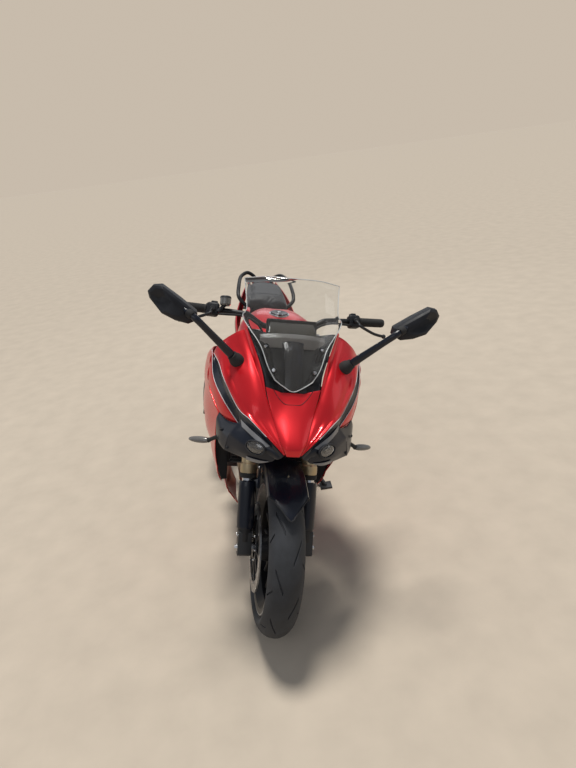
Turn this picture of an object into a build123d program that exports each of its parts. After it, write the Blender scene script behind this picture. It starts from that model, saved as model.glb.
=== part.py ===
from build123d import *
import os
from math import asin, atan2, cos, degrees, pi, radians, sin, sqrt

# A sport touring motorcycle leaning on its side stand, mm and degrees.
# It is modelled upright: X to its left, Y to its rear, Z up, from the floor
# under the middle of the wheelbase. The last section leans it on its stand.

# Chassis, measured from the middle of the head tube and from the swingarm's pivot
head_y, head_z = -414, 892
swingarm_run = 555
rake = 25
trail = 100
lean = 13.56
rest_steer = 2.2
running_gap = 0.05
seat_gap = 0.3

# Wheels and brakes
front_tyre_radius, front_tyre_width, front_crown = 300, 120, 62
rear_tyre_radius, rear_tyre_width, rear_crown = 311, 190, 105
bead_radius = 218
front_bead, rear_bead = 46, 76
flange = 5
spoke_pairs = 5
front_axle_radius, rear_axle_radius = 12.5, 12.5
front_disc_radius, front_disc_width, front_disc_x = 155, 5, 72
rear_disc_radius, rear_disc_width, rear_disc_x = 120, 5, 100

# Fork and handlebar, in the fork's own frame: Z up the steering axis from the
# height of the axle, Y to the rear
fork_x = 112
fork_tube_radius, fork_leg_radius = 27, 21.5
fork_seal = 250
lower_clamp, lower_clamp_height = 560, 36
upper_clamp, upper_clamp_height = 745, 23
stem_radius = 14
bar_radius = 11
bar_width = 825
bar_bend = 182.5
grip_radius, grip_length = 17, 125
fender_gap, fender_wall, fender_side, fender_rise = 20, 4, 8, 96

# Final drive
chain_pitch = 15.875
front_teeth, rear_teeth = 17, 44
chain_x = 112
chain_inner_width = 9
chain_plate = 2
plate_half, plate_waist = 7, 5
chain_side = chain_inner_width / 2 + chain_plate
sprocket_width = 6
chain_links = 114
roller_radius, tooth_rise = 5.1, 4.5
drive_shaft = (81.6, 430)

# Frame and swingarm
pivot = (175, 405)
pivot_tube_radius = 28
frame_inside, frame_wall = 125, 18
rail_radius = 12

# Engine
crank_half_width = 182
gearbox_left, gearbox_right = 92, 118
header_radius = 19
header_spacing = 90

# Fairing and seat
cowl_wall = 4
screen_wall = 4
bar_rise = 812
plate_frame = Pos(0, 1104, 636) * Rot(-20, 0, 0)
plate_holes, plate_hole_radius, plate_board = 140, 3.2, 5

cap_y, cap_floor, cap_ring_radius, cap_ring_height = -94, 998, 44, 8
filler_radius, filler_depth = 26, 70
cap_hinge = (0, cap_y - 41, cap_floor + cap_ring_height + 4)

# Side stand
stand_pivot = (160, 140, 285)
stand_stowed = (28, 305, 20)
stand_foot = (352, 20)
stand_rod = 12
stand_pad = 8
stand_eye, stand_half, stand_bolt = 17, 6, 6


# Helpers

def side_plate(outline, x_from, x_to, rounding=0):
    """Extrude an outline of (y, z) points from x_from to x_to."""
    face = make_face(Polyline(*outline, close=True))
    if rounding:
        face = fillet(face.vertices(), rounding)
    return extrude(Plane.YZ.offset(x_from) * face, x_to - x_from)


def front_plate(outline, y_from, y_to, rounding=0):
    """Extrude an outline of (x, z) points from y_from to y_to."""
    face = make_face(Polyline(*outline, close=True))
    if rounding:
        face = fillet(face.vertices(), rounding)
    plane = Plane(origin=(0, y_from, 0), x_dir=(1, 0, 0), z_dir=(0, -1, 0))
    return extrude(plane * face, y_from - y_to)


def rod(start, end, radius, bore=0):
    """A round bar, or a pipe with a bore, between two points."""
    run = Vector(*end) - Vector(*start)
    section = Circle(radius)
    if bore:
        section -= Circle(bore)
    return extrude(Plane(origin=start, z_dir=run.normalized()) * section, run.length)


def bent_tube(points, radius, bend):
    """A round tube along straight runs joined by arcs of radius bend."""
    path = FilletPolyline(*points, radius=bend)
    return sweep(Plane(origin=path @ 0, z_dir=path % 0) * Circle(radius), path=path)


def ring_x(outer, inner, x_from, x_to):
    """A ring about the X axis."""
    return extrude(Plane.YZ.offset(x_from) * (Circle(outer) - Circle(inner)), x_to - x_from)


def disc_x(radius, x_from, x_to):
    """A disc about the X axis."""
    return extrude(Plane.YZ.offset(x_from) * Circle(radius), x_to - x_from)


def beam(stations):
    """A box beam through stations of (y, x_in, x_out, z_low, z_high)."""
    wires = []
    for y, x_in, x_out, z_low, z_high in stations:
        corners = [(x_in, y, z_low), (x_out, y, z_low), (x_out, y, z_high), (x_in, y, z_high)]
        wires.append(Wire.make_polygon(corners))
    return Solid.make_loft(wires, ruled=True)


def body_loft(stations, corner):
    """A smooth body through stations of (y, half_low, z_low, half_mid, z_mid, half_top, z_top)."""
    faces = []
    for y, half_low, z_low, half_mid, z_mid, half_top, z_top in stations:
        half = [(half_low, z_low), (half_mid, z_mid), (half_top, z_top)]
        outline = half + [(-x, z) for x, z in reversed(half)]
        face = make_face(Polyline(*outline, close=True))
        face = fillet(face.vertices(), corner)
        plane = Plane(origin=(0, y, 0), x_dir=(1, 0, 0), z_dir=(0, -1, 0))
        faces.append(plane * face)
    return loft(faces)


def smooth_line(points, steps):
    """Points of a smooth curve that passes through the given ones."""
    knots = [Vector(*point) for point in points]
    knots = [knots[0] * 2 - knots[1]] + knots + [knots[-1] * 2 - knots[-2]]
    line = []
    for a, b, c, d in zip(knots, knots[1:], knots[2:], knots[3:]):
        for step in range(steps):
            t = step / steps
            line.append((b * 2 + (c - a) * t + (a * 2 - b * 5 + c * 4 - d) * t ** 2
                         + (b * 3 - a - c * 3 + d) * t ** 3) * 0.5)
    return line + [knots[-2]]


def panel(lines, wall, inside=(0, -300, 760), steps=3):
    """A wall of even thickness through crease lines that hold as many points each.

    The lines lie on the outer face, curved between their points, and the wall
    grows towards the point inside.
    """
    rows = [smooth_line(line, steps) for line in lines]
    count, length = len(rows), len(rows[0])
    inner = []
    for i in range(count):
        inner_row = []
        for j in range(length):
            along = rows[i][min(j + 1, length - 1)] - rows[i][max(j - 1, 0)]
            across = rows[min(i + 1, count - 1)][j] - rows[max(i - 1, 0)][j]
            normal = along.cross(across).normalized()
            if normal.dot(Vector(*inside) - rows[i][j]) < 0:
                normal = -normal
            inner_row.append(rows[i][j] + normal * wall)
        inner.append(inner_row)
    rim = [(0, j) for j in range(length)] + [(i, length - 1) for i in range(1, count)]
    rim += [(count - 1, j) for j in reversed(range(length - 1))]
    rim += [(i, 0) for i in reversed(range(1, count - 1))]
    faces = []
    for grid in (rows, inner):
        for i in range(count - 1):
            for j in range(length - 1):
                a, b = grid[i][j], grid[i][j + 1]
                c, d = grid[i + 1][j + 1], grid[i + 1][j]
                faces += [Face(Wire.make_polygon([a, b, c])), Face(Wire.make_polygon([a, c, d]))]
    for (i, j), (k, l) in zip(rim, rim[1:] + rim[:1]):
        a, b, c, d = rows[i][j], rows[k][l], inner[k][l], inner[i][j]
        faces += [Face(Wire.make_polygon([a, b, c])), Face(Wire.make_polygon([a, c, d]))]
    return Solid(Shell(faces))


def mirrored(shape):
    """The same piece on the bike's right."""
    return mirror(shape, about=Plane.YZ)


def pair(shape):
    """The piece on the left and its mirror image on the right."""
    return Compound(list(shape.solids()) + list(mirrored(shape).solids()))


# Frames of the fork and the wheels

rake_sin, rake_cos = sin(radians(rake)), cos(radians(rake))
axle_offset = front_tyre_radius * rake_sin - trail * rake_cos
front_axle = (0, head_y - head_z * rake_sin / rake_cos + trail, front_tyre_radius)
rear_axle = (0, pivot[0] + swingarm_run, rear_tyre_radius)
wheelbase = rear_axle[1] - front_axle[1]
fork_origin = (0, front_axle[1] + axle_offset * rake_cos, front_axle[2] - axle_offset * rake_sin)
fork_frame = Pos(*fork_origin) * Rot(-rake, 0, 0)
wheel_in_fork = Pos(0, -axle_offset, 0)


def tyre(radius, width, crown, bead):
    """A tyre of round crown, about the X axis."""
    half = width / 2
    shoulder = radius - crown + sqrt(crown ** 2 - half ** 2)
    lip = bead_radius + 11
    right = [(half, shoulder), (half - 4, shoulder - 10), (bead, lip), (bead, bead_radius)]
    left = [(-x, r) for x, r in reversed(right)]
    crown_arc = ThreePointArc((-half, shoulder), (0, radius), (half, shoulder))
    section = make_face(crown_arc + Polyline(*right) + Line(right[-1], left[0]) + Polyline(*left))
    return revolve(section, axis=Axis.X)


def rim(bead, hub_radius, hub_half, spoke_half, bore):
    """A cast wheel: rim well, hub and pairs of spokes, about the X axis."""
    edge = bead + flange
    lip = bead_radius + 11
    half_outline = [(edge, bead_radius - 13), (edge, lip), (bead, lip), (bead, bead_radius)]
    inner = [(edge - 6, bead_radius - 13), (edge - 20, bead_radius - 22)]
    outline = [(-x, r) for x, r in half_outline] + [(x, r) for x, r in reversed(half_outline)]
    outline += inner + [(-x, r) for x, r in reversed(inner)]
    wheel = revolve(make_face(Polyline(*outline, close=True)), axis=Axis.X)
    wheel += disc_x(hub_radius, -hub_half, hub_half)
    for pair_index in range(spoke_pairs):
        for side in (-1, 1):
            root, tip = side * 16, side * 40
            reach = bead_radius - 20
            outline = [(root - 12, 20), (root + 12, 20), (tip + 9, reach), (tip - 9, reach)]
            spoke = side_plate(outline, -spoke_half, spoke_half)
            wheel += Rot(360 * pair_index / spoke_pairs, 0, 0) * spoke
    return wheel - disc_x(bore, -hub_half, hub_half)


def brake_disc(radius, band, hub, width, arms=10):
    """A brake disc: rubbed ring, arms and inner ring, about the X axis, centred on X 0."""
    face = Circle(radius) - Circle(radius - band)
    face += Circle(hub + 14) - Circle(hub)
    for arm in range(arms):
        reach = radius - band + 3 - hub
        bar = Pos(hub + reach / 2 + 2, 0) * Rectangle(reach, 10)
        face += Rot(0, 0, 360 * arm / arms) * bar
    return extrude(Plane.YZ.offset(-width / 2) * face, width)


# Front wheel

front_hub_half = front_disc_x - front_disc_width / 2
front_hub_radius = 50
front_bore = front_axle_radius + running_gap


def make_front_wheel():
    disc = brake_disc(front_disc_radius, 36, 36, front_disc_width)
    discs = [Pos(side * front_disc_x, 0, 0) * disc for side in (-1, 1)]
    return {
        "front_tyre": tyre(front_tyre_radius, front_tyre_width, front_crown, front_bead),
        "front_rim": rim(front_bead, front_hub_radius, front_hub_half, 13, front_bore),
        "front_discs": Compound([solid for item in discs for solid in item.solids()]),
    }


# Rear wheel

rear_hub_half = rear_disc_x - rear_disc_width / 2
rear_hub_radius = 54
sprocket_inner = chain_x - sprocket_width / 2


def sprocket(teeth, width, bore, seat_angle=0):
    """A chain sprocket about the X axis, with a roller seat at the angle from +Y, and one a pitch."""
    radius = chain_pitch / 2 / sin(pi / teeth)
    floor, tip = radius - roller_radius - seat_gap, radius + tooth_rise
    step = 2 * pi / teeth
    outline = []
    for tooth in range(teeth):
        middle = seat_angle + tooth * step
        for share, reach in ((-0.43, tip), (-0.36, radius + seat_gap), (-0.25, floor),
                             (0.25, floor), (0.36, radius + seat_gap), (0.43, tip)):
            angle = middle + share * step
            outline.append((reach * cos(angle), reach * sin(angle)))
    face = make_face(Polyline(*outline, close=True)) - Circle(bore)
    return extrude(Plane.YZ.offset(-width / 2) * face, width)


def make_rear_wheel():
    bore = rear_axle_radius + running_gap
    wheel = rim(rear_bead, rear_hub_radius, rear_hub_half, 16, bore)
    wheel += ring_x(rear_hub_radius, bore, rear_hub_half, sprocket_inner)
    disc = Pos(-rear_disc_x, 0, 0) * brake_disc(rear_disc_radius, 32, 36, rear_disc_width)
    at_rear = seat_angle(Vector(rear_axle[1], rear_axle[2]))
    gear = Pos(chain_x, 0, 0) * sprocket(rear_teeth, sprocket_width, 36, at_rear)
    for hole in range(5):
        gear -= Rot(72 * hole, 0, 0) * Pos(chain_x, 0, 74) * disc_x(20, -10, 10)
    return {
        "rear_tyre": tyre(rear_tyre_radius, rear_tyre_width, rear_crown, rear_bead),
        "rear_rim": wheel,
        "rear_disc": disc,
        "rear_sprocket": gear,
    }


# Fork, bars and brakes, in the fork's frame

clamp_half = 25
axle_half = fork_x + clamp_half
collar = 4
clamp_outline = [(-26, -26), (26, -26), (24, 62), (-24, 62)]
fork_top = upper_clamp + upper_clamp_height + 10


def clamp_plate(height):
    """One triple clamp: a plate round both fork tubes and the stem."""
    circles = [Pos(side * fork_x, -axle_offset) * Circle(fork_tube_radius + 9) for side in (-1, 1)]
    circles.append(Circle(stem_radius + 20))
    edges = [edge for circle in circles for edge in circle.edges()]
    return extrude(make_hull(edges), height)


def make_fork():
    tubes, legs = [], []
    for side in (-1, 1):
        at = Pos(side * fork_x, -axle_offset, 0)
        outer = Pos(0, 0, (fork_seal + fork_top) / 2) * Cylinder(fork_tube_radius, fork_top - fork_seal)
        collar_ring = Cylinder(fork_tube_radius + collar, 18)
        tubes.append(at * (outer + Pos(0, 0, fork_seal + 9) * collar_ring))
        leg = Pos(0, 0, (60 + fork_seal) / 2) * Cylinder(fork_leg_radius, fork_seal - 60)
        foot = Pos(0, 0, 65) * Cylinder(fork_tube_radius, 90)
        foot += side_plate(clamp_outline, -clamp_half, clamp_half, 12)
        foot -= disc_x(front_axle_radius, -60, 60)
        legs.append(at * (leg + foot))
    lower = Pos(0, 0, lower_clamp) * clamp_plate(lower_clamp_height)
    upper = Pos(0, 0, upper_clamp) * clamp_plate(upper_clamp_height)
    clamps = lower + upper
    clamps += Pos(0, 0, (lower_clamp + upper_clamp) / 2 + 10) * Cylinder(stem_radius, upper_clamp - lower_clamp)
    clamps += Pos(0, 0, upper_clamp + upper_clamp_height + 5) * Cylinder(18, 10)
    for side in (-1, 1):
        clamps -= Pos(side * fork_x, -axle_offset, 660) * Cylinder(fork_tube_radius, 300)
        riser = Pos(side * 42, 0, 0) * Box(34, 40, bar_rise + 18 - upper_clamp - upper_clamp_height,
                                           align=(Align.CENTER, Align.CENTER, Align.MIN))
        clamps += Pos(0, 0, upper_clamp + upper_clamp_height) * riser
    clamps -= Pos(0, 0, bar_rise) * disc_x(bar_radius, -70, 70)
    axle = disc_x(front_axle_radius, -axle_half, axle_half)
    inner_face = fork_x - clamp_half
    for side in (-1, 1):
        ends = sorted((side * (front_hub_half + 0.5), side * inner_face))
        axle += disc_x(front_axle_radius + 6, *ends)
    return {
        "fork_tubes": Compound([solid for item in tubes for solid in item.solids()]),
        "fork_legs": Compound([solid for item in legs for solid in item.solids()]),
        "triple_clamps": clamps,
        "front_axle": Pos(0, -axle_offset, 0) * axle,
    }


def make_fender():
    """The front mudguard and the guards before the fork legs."""
    inner, wall = front_tyre_radius + fender_gap, fender_wall
    half = front_tyre_width / 2 + fender_side
    within = [(half, inner - 34), (half - 10, inner - 6), (0, inner)]
    outside = [(half + wall, inner - 34), (half - 8, inner - 3 + wall / 2), (0, inner + wall)]
    outline = within + [(-x, r) for x, r in reversed(within) if x > 0]
    outline += [(-x, r) for x, r in outside] + [(x, r) for x, r in reversed(outside) if x > 0]
    section = make_face(Polyline(*outline, close=True))
    # The arc runs from behind the fork, over the top, to the tip in front.
    arc_from, arc_to = 55, 152
    shell = Rot(arc_from, 0, 0) * revolve(section, axis=Axis.X, revolution_arc=arc_to - arc_from)
    # The front edge runs down from both sides to a point in the middle.
    tip = inner * sin(radians(arc_to))
    side = front_plate([(0, tip), (half + 20, tip + fender_rise), (half + 20, 0), (0, 0)], -2 * inner, -half)
    return shell - side - mirrored(side)


def make_steering():
    nodes = make_fork()
    fender = make_fender()
    behind = Pos(0, 40) * Rectangle(100, 80)
    arch = Circle(fork_tube_radius + 6) - Circle(fork_tube_radius + 2) - behind
    band = Circle(fork_tube_radius + 6) - Circle(fork_tube_radius) - behind
    guard = Pos(0, 0, 66) * (extrude(arch, fork_seal - 76) + extrude(band, 24))
    stay = Pos(0, 0, 230) * (Pos(78, 0, 0) * Box(28, 40, 30) + Pos(69, 0, 30) * Box(6, 44, 90))
    stay -= Pos(fork_x, 0, 200) * Cylinder(fork_leg_radius, 200)
    nodes["front_fender"] = Pos(0, -axle_offset, 0) * Compound(
        list((fender + stay + mirrored(stay)).solids()) + list(pair(Pos(fork_x, 0, 0) * guard).solids()))

    # Calipers: two halves and a bridge over the disc
    radial, tangential = 66, 120
    caliper_angle, caliper_radius = 40, 135
    half_gap = front_disc_width / 2 + 3
    block = Box(60, tangential, radial)
    block = fillet(block.edges().filter_by(Axis.X), 14)
    block = Pos(front_disc_x + 10, 0, caliper_radius) * block
    slot = disc_x(front_disc_radius + 4, front_disc_x - half_gap, front_disc_x + half_gap)
    caliper = Rot(caliper_angle - 90, 0, 0) * block - slot
    bracket = side_plate([(12, 106), (30, 118), (39, 112), (117, 20), (95, 0), (26.5, -12), (26.5, 40), (12, 70)],
                         92, 106)
    bracket -= Pos(fork_x, 0, 60) * Cylinder(fork_tube_radius, 200)
    bracket -= Pos(fork_x, 0, 0) * side_plate(clamp_outline, -clamp_half, clamp_half)
    caliper += bracket - Rot(caliper_angle - 90, 0, 0) * block
    nodes["front_calipers"] = Pos(0, -axle_offset, 0) * pair(caliper)

    # Handlebar with its sweep, grips, switches and levers
    end = bar_width / 2
    bend = end - bar_bend
    left_bar = [(75, 0, bar_rise), (150, 0, 850), (bend, 25, 860), (end, 85, 877)]
    bar = bent_tube([(-x, y, z) for x, y, z in reversed(left_bar)] + left_bar, bar_radius, 30)
    nodes["handlebar"] = bar
    tip = Vector(end, 85, 877)
    along = (tip - Vector(bend, 25, 860)).normalized()
    grip_start = tip - along * grip_length
    plane = Plane(origin=grip_start, z_dir=along)
    grip = extrude(plane * (Circle(grip_radius) - Circle(bar_radius)), grip_length - 4)
    nodes["grips"] = pair(grip)
    perch_at = tip - along * (grip_length + 18)
    housing = Plane(origin=perch_at, x_dir=(0, 1, 0), z_dir=along)
    switch = extrude(housing * Rectangle(44, 46), 17) + extrude(housing * Rectangle(40, 42), -24)
    switch -= extrude(housing.offset(-60) * Circle(bar_radius), 120)
    ball = tip + Vector(-17.5, -71, -65)
    root = perch_at + Vector(0, -34, 0)
    knuckle = ball + Vector(-105, -36, 26)
    lever = bent_tube([tuple(root), tuple(knuckle), tuple(ball + Vector(-45, -12, 6)), tuple(ball)], 6, 30)
    lever += Pos(*ball) * Sphere(9)
    lever += rod(tuple(perch_at + Vector(0, -18, 0)), tuple(root + Vector(0, -6, 0)), 10)
    nodes["hand_controls"] = pair(switch + lever)
    right, left = nodes["hand_controls"].solids().sort_by(Axis.X)
    cup = Vector(34 - perch_at.X, perch_at.Y - 30, perch_at.Z + 46)
    right += Pos(*cup) * Cylinder(21, 34) + rod(tuple(cup - Vector(0, 0, 12)), tuple(cup + Vector(-24, 8, -40)), 9)
    nodes["hand_controls"] = Compound(list(left.solids()) + list(right.solids()))
    return nodes


# Frame and running gear, in the bike's frame

def make_frame(tank, dash):
    head = fork_frame * (Pos(0, 0, (lower_clamp + lower_clamp_height + upper_clamp) / 2)
                         * (Cylinder(34, upper_clamp - lower_clamp - lower_clamp_height - 8)
                            - Cylinder(stem_radius + running_gap, 400)))
    middle = (fork_frame * Pos(0, 0, (lower_clamp + upper_clamp) / 2)).position
    # y, x_in, x_out, z_low, z_high
    spar = beam([(middle.Y, 20, 42, middle.Z - 38, middle.Z + 34),
                 (middle.Y + 46, 46, 70, middle.Z - 64, middle.Z + 6),
                 (middle.Y + 96, 116, 140, middle.Z - 100, middle.Z - 22), (-220, 174, 198, 712, 800),
                 (-40, 160, 182, 602, 688), (125, frame_inside, frame_inside + frame_wall, 520, 610)])
    plate = side_plate([(80, 540), (90, 600), (150, 640), (215, 625), (235, 520), (212, 430),
                        (215, 340), (190, 300), (140, 290), (128, 400), (120, 480)],
                       frame_inside, frame_inside + frame_wall)
    left = spar + plate
    frame = left + mirrored(left) + head + make_stand_bracket()
    for y, z, radius in ((195, 590, 16), (170, 318, 12)):
        frame += Pos(0, y, z) * disc_x(radius, -frame_inside - 4, frame_inside + 4)
    # The fairing's stay runs forward between the clamps.
    frame += bent_tube([(0, -443, 905), (0, -527, 945), (0, -572, 1024)], 11, 24)
    front_mount = rod((184, -200, 780), (112, -200, 826), 10)
    rear_mount = rod((52, 195, 596), (52, 150, 812), 10)
    mounts = front_mount + rear_mount
    frame += mounts + mirrored(mounts)
    frame -= fork_frame * Pos(0, 0, 650) * Cylinder(stem_radius + running_gap, 300)
    return frame - tank - dash + make_pivot_bolt()


def make_subframe():
    inside = frame_inside - rail_radius - seat_gap
    upper = bent_tube([(inside, 200, 622), (inside, 330, 690), (100, 520, 790), (72, 900, 850)],
                      rail_radius, 60)
    lower = bent_tube([(inside, 216, 530), (inside, 420, 640), (94, 640, 809)], rail_radius, 60)
    rails = upper + lower
    frame = rails + mirrored(rails)
    for y, z, half in ((520, 788, 100), (880, 847, 73)):
        frame += Pos(0, y, z) * disc_x(rail_radius - 1, -half, half)
    return frame


def make_engine():
    crank = side_plate([(-215, 320), (-230, 420), (-200, 480), (-20, 505), (10, 470), (10, 320), (-60, 302),
                        (-160, 302)], -crank_half_width, crank_half_width, 12)
    gearbox = side_plate([(-20, 500), (60, 505), (140, 480), (142, 300), (110, 240), (-60, 238)],
                         -gearbox_right, gearbox_left, 10)
    sump = side_plate([(-200, 330), (-180, 250), (-140, 236), (0, 236), (0, 330)], -92, 92, 10)
    # The cylinders lean 20 degrees forward.
    block = side_plate([(-200, 440), (-268, 627), (-110, 684), (-35, 480)], -158, 158, 8)
    head = side_plate([(-268, 627), (-285, 672), (-262, 712), (-150, 752), (-112, 730), (-95, 690)],
                      -164, 164, 8)
    shaft = Pos(0, *drive_shaft) * (disc_x(20, gearbox_left - 10, chain_x)
                                    + disc_x(40, gearbox_left - 2, chain_x - chain_side))
    drive = Pos(chain_x, *drive_shaft) * sprocket(front_teeth, sprocket_width, 10, seat_angle(Vector(*drive_shaft)))
    return crank + gearbox + sump + block + head + shaft + drive


def make_engine_covers(engine):
    clutch = Pos(0, 44, 410) * disc_x(74, -crank_half_width - 34, -gearbox_right)
    alternator = Pos(0, -110, 395) * disc_x(78, crank_half_width, crank_half_width + 36)
    timing = Pos(0, -120, 390) * disc_x(66, -crank_half_width - 26, -crank_half_width)
    outside = frame_inside + frame_wall + 1
    guard = Pos(0, *drive_shaft) * disc_x(66, outside, outside + 12)
    for z in (404, 456):
        guard += Pos(0, 27, z) * disc_x(5, gearbox_left, outside)
    covers = [clutch - engine, alternator, timing, guard]
    return Compound([solid for cover in covers for solid in cover.solids()])


def make_radiator(engine):
    core = Box(340, 26, 280) + Pos(184, 0, 0) * Box(28, 34, 290) + Pos(-184, 0, 0) * Box(28, 34, 290)
    core = Pos(0, -372, 598) * Rot(-9, 0, 0) * core
    mount = rod((92, -352, 690), (92, -262, 690), 9)
    return core + mount + mirrored(mount) - engine


def make_exhaust(muffler, engine):
    pipes = []
    for index in range(4):
        x = (index - 1.5) * header_spacing
        low = (index - 1.5) * 50
        points = [(x, -258, 648), (x, -312, 620), (x * 0.9, -318, 420), (low, -300, 215), (low, -200, 180),
                  (low, -60, 175)]
        pipes.append(bent_tube(points, header_radius, 26))
    box = Pos(0, 30, 185) * fillet(Box(210, 180, 90).edges(), 14)
    mid = bent_tube([(-60, 115, 195), (-110, 200, 215), (-200, 285, 300)], 24, 40)
    return pipes[0] + pipes[1] + pipes[2] + pipes[3] + box + mid - muffler - engine


def make_muffler():
    # y, centre x, centre z, half width, half height
    stations = [(290, -215, 305, 40, 45), (350, -238, 340, 58, 72), (520, -246, 390, 60, 78),
                (640, -246, 425, 50, 66)]
    wires = []
    for y, x, z, half, tall in stations:
        outline = [(x - half, z - tall * 0.4), (x - half, z + tall * 0.5), (x - half * 0.4, z + tall),
                   (x + half, z + tall * 0.8), (x + half, z - tall * 0.6), (x + half * 0.3, z - tall)]
        wires.append(Wire.make_polygon([(px, y, pz) for px, pz in outline]))
    return Solid.make_loft(wires, ruled=True)


def make_swingarm():
    # y, x_in, x_out, z_low, z_high
    axle_y, axle_z = rear_axle[1], rear_axle[2]
    arm = beam([(178, 60, 96, 382, 430), (330, 80, 117, 345, 425), (430, 104, 138, 328, 402),
                (axle_y - 170, 124, 150, axle_z - 6, axle_z + 61), (axle_y - 30, 128, 154, axle_z - 29, axle_z + 31),
                (axle_y + 45, 128, 154, axle_z - 21, axle_z + 23)])
    arm -= Pos(*rear_axle) * disc_x(rear_axle_radius, 100, 200)
    body = arm + mirrored(arm)
    body += Pos(0, *pivot) * disc_x(pivot_tube_radius, -frame_inside + 1, frame_inside - 1)
    body += beam([(285, -90, 90, 362, 418), (345, -90, 90, 352, 410)])
    body -= Pos(0, *pivot) * disc_x(10, -200, 200)
    return body


def make_rear_axle():
    half = 166
    axle = disc_x(rear_axle_radius, -half, half)
    axle += disc_x(rear_axle_radius + 6, sprocket_inner + 8, 127.7)
    axle += disc_x(rear_axle_radius + 6, -127.7, -rear_disc_x - 4)
    for side in (-1, 1):
        ends = sorted((side * 154, side * half))
        axle += disc_x(20, *ends)
    return Pos(*rear_axle) * axle


def make_pivot_bolt():
    half = frame_inside + frame_wall
    bolt = disc_x(10, -half, half)
    for side in (-1, 1):
        ends = sorted((side * half, side * (half + 8)))
        bolt += disc_x(17, *ends)
    return Pos(0, *pivot) * bolt


def make_shock(frame, swingarm):
    low, high = (0, 240, 330), (0, 214, 590)
    body = rod(low, high, 12)
    coil = rod((0, 238, 368), (0, 226, 530), 30)
    shock = body + coil + Pos(0, 196, 590) * disc_x(24, -16, 16)
    lower_link = rod((0, 240, 345), (0, 300, 372), 13)
    return (shock + lower_link - frame - swingarm).solids().sort_by(SortBy.VOLUME)[-1]


def chain_tangents():
    """Centres, pitch radii and the angles where the chain leaves its sprockets, in the plane of (y, z)."""
    small = chain_pitch / 2 / sin(pi / front_teeth)
    large = chain_pitch / 2 / sin(pi / rear_teeth)
    front, rear = Vector(*drive_shaft), Vector(rear_axle[1], rear_axle[2])
    span = rear - front
    heading = atan2(span.Y, span.X)
    spread = asin((large - small) / span.length)
    return front, rear, small, large, heading + pi / 2 + spread, heading - pi / 2 - spread


def around(centre, radius, angle):
    return (centre.X + radius * cos(angle), centre.Y + radius * sin(angle))


def chain_pins():
    """The pins' centres with their outward angles: round the front, along below, round the rear, along above."""
    front, rear, small, large, up, down = chain_tangents()
    front_step, rear_step = 2 * pi / front_teeth, 2 * pi / rear_teeth
    front_wrap, rear_wrap = 2 * pi - (up - down), up - down
    run = (Vector(*around(front, small, up)) - Vector(*around(rear, large, up))).length
    on_front, on_rear = front_wrap / front_step, rear_wrap / rear_step
    on_run = (chain_links - on_front - on_rear) / 2
    pins = []
    for link in range(chain_links):
        if link < on_front:
            angle = up + link * front_step
            pins.append((*around(front, small, angle), angle))
        elif link < on_front + on_run:
            share = (link - on_front) / on_run
            (y0, z0), (y1, z1) = around(front, small, down), around(rear, large, down)
            pins.append((y0 + (y1 - y0) * share, z0 + (z1 - z0) * share, down))
        elif link < on_front + on_run + on_rear:
            angle = down + (link - on_front - on_run) * rear_step
            pins.append((*around(rear, large, angle), angle))
        else:
            share = (link - on_front - on_run - on_rear) / on_run
            (y0, z0), (y1, z1) = around(rear, large, up), around(front, small, up)
            pins.append((y0 + (y1 - y0) * share, z0 + (z1 - z0) * share, up))
    return pins


def seat_angle(centre):
    """The angle of one roller on the sprocket at centre."""
    nearest = min(chain_pins(), key=lambda pin: (Vector(pin[0], pin[1]) - centre).length)
    return nearest[2]


def make_chain():
    """One loop of links: waisted plates on both sides of the rollers."""
    pins = chain_pins()
    edges = []
    for side in (1, -1):
        edge = []
        for (y, z, angle), (y_next, z_next, _) in zip(pins, pins[1:] + pins[:1]):
            edge.append((y + side * plate_half * cos(angle), z + side * plate_half * sin(angle)))
            middle_y, middle_z = (y + y_next) / 2, (z + z_next) / 2
            edge.append((middle_y + side * plate_waist * cos(angle), middle_z + side * plate_waist * sin(angle)))
        edges.append(make_face(Polyline(*edge, close=True)))
    band = edges[0] - edges[1]
    half_gap = chain_inner_width / 2
    chain = extrude(Plane.YZ.offset(chain_x + half_gap) * band, chain_plate)
    chain += extrude(Plane.YZ.offset(chain_x - half_gap - chain_plate) * band, chain_plate)
    # The rear sprocket turns by itself, so its teeth stand where rollers would be.
    _, rear, _, large, _, _ = chain_tangents()
    clear = large + tooth_rise + roller_radius + 1
    rollers = [extrude(Plane.YZ.offset(chain_x - half_gap) * Pos(y, z) * RegularPolygon(roller_radius, 6),
                       chain_inner_width)
               for y, z, _ in pins if (Vector(y, z) - rear).length > clear]
    return chain.fuse(*rollers)


# Bodywork, in the bike's frame, left side where a line is given once

# The crease lines run from the beak's tip up and back.
beak_edge = [(19, -873, 763), (23, -866, 796), (26, -786, 851), (30, -744, 882), (36, -716, 908)]
beak_crease = [(22, -869, 765), (40, -850, 797), (64, -775, 848), (78, -742, 885), (90, -716, 925)]
screen_line = [(23.5, -868, 765.5), (41, -849, 797), (65.5, -774, 848), (86, -737, 898), (101, -682, 958),
               (126, -622, 1012), (160, -548, 1072)]
ridge_line = [(25, -868, 765.5), (43, -848, 796), (67, -773, 847), (88, -736, 896), (108, -689, 941),
              (133, -626, 985), (165, -538, 1057)]
crest_line = [(26, -867, 765), (52, -842, 797), (90, -790, 832), (120, -745, 890), (143, -685, 940),
              (162, -614, 984), (205, -528, 1032)]
flank_line = [(27, -866, 764.5), (66, -836, 800), (116, -784, 836), (158, -735, 864), (192, -664, 914),
              (222, -586, 964), (244, -506, 990)]
brow_line = [(28, -866, 764), (84, -832, 808), (134, -782, 838), (174, -722, 850), (222, -642, 912),
             (242, -576, 944), (262, -500, 952)]
accent_line = [(166, -722, 790), (222, -652, 845), (255, -575, 884), (266, -500, 948)]


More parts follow.
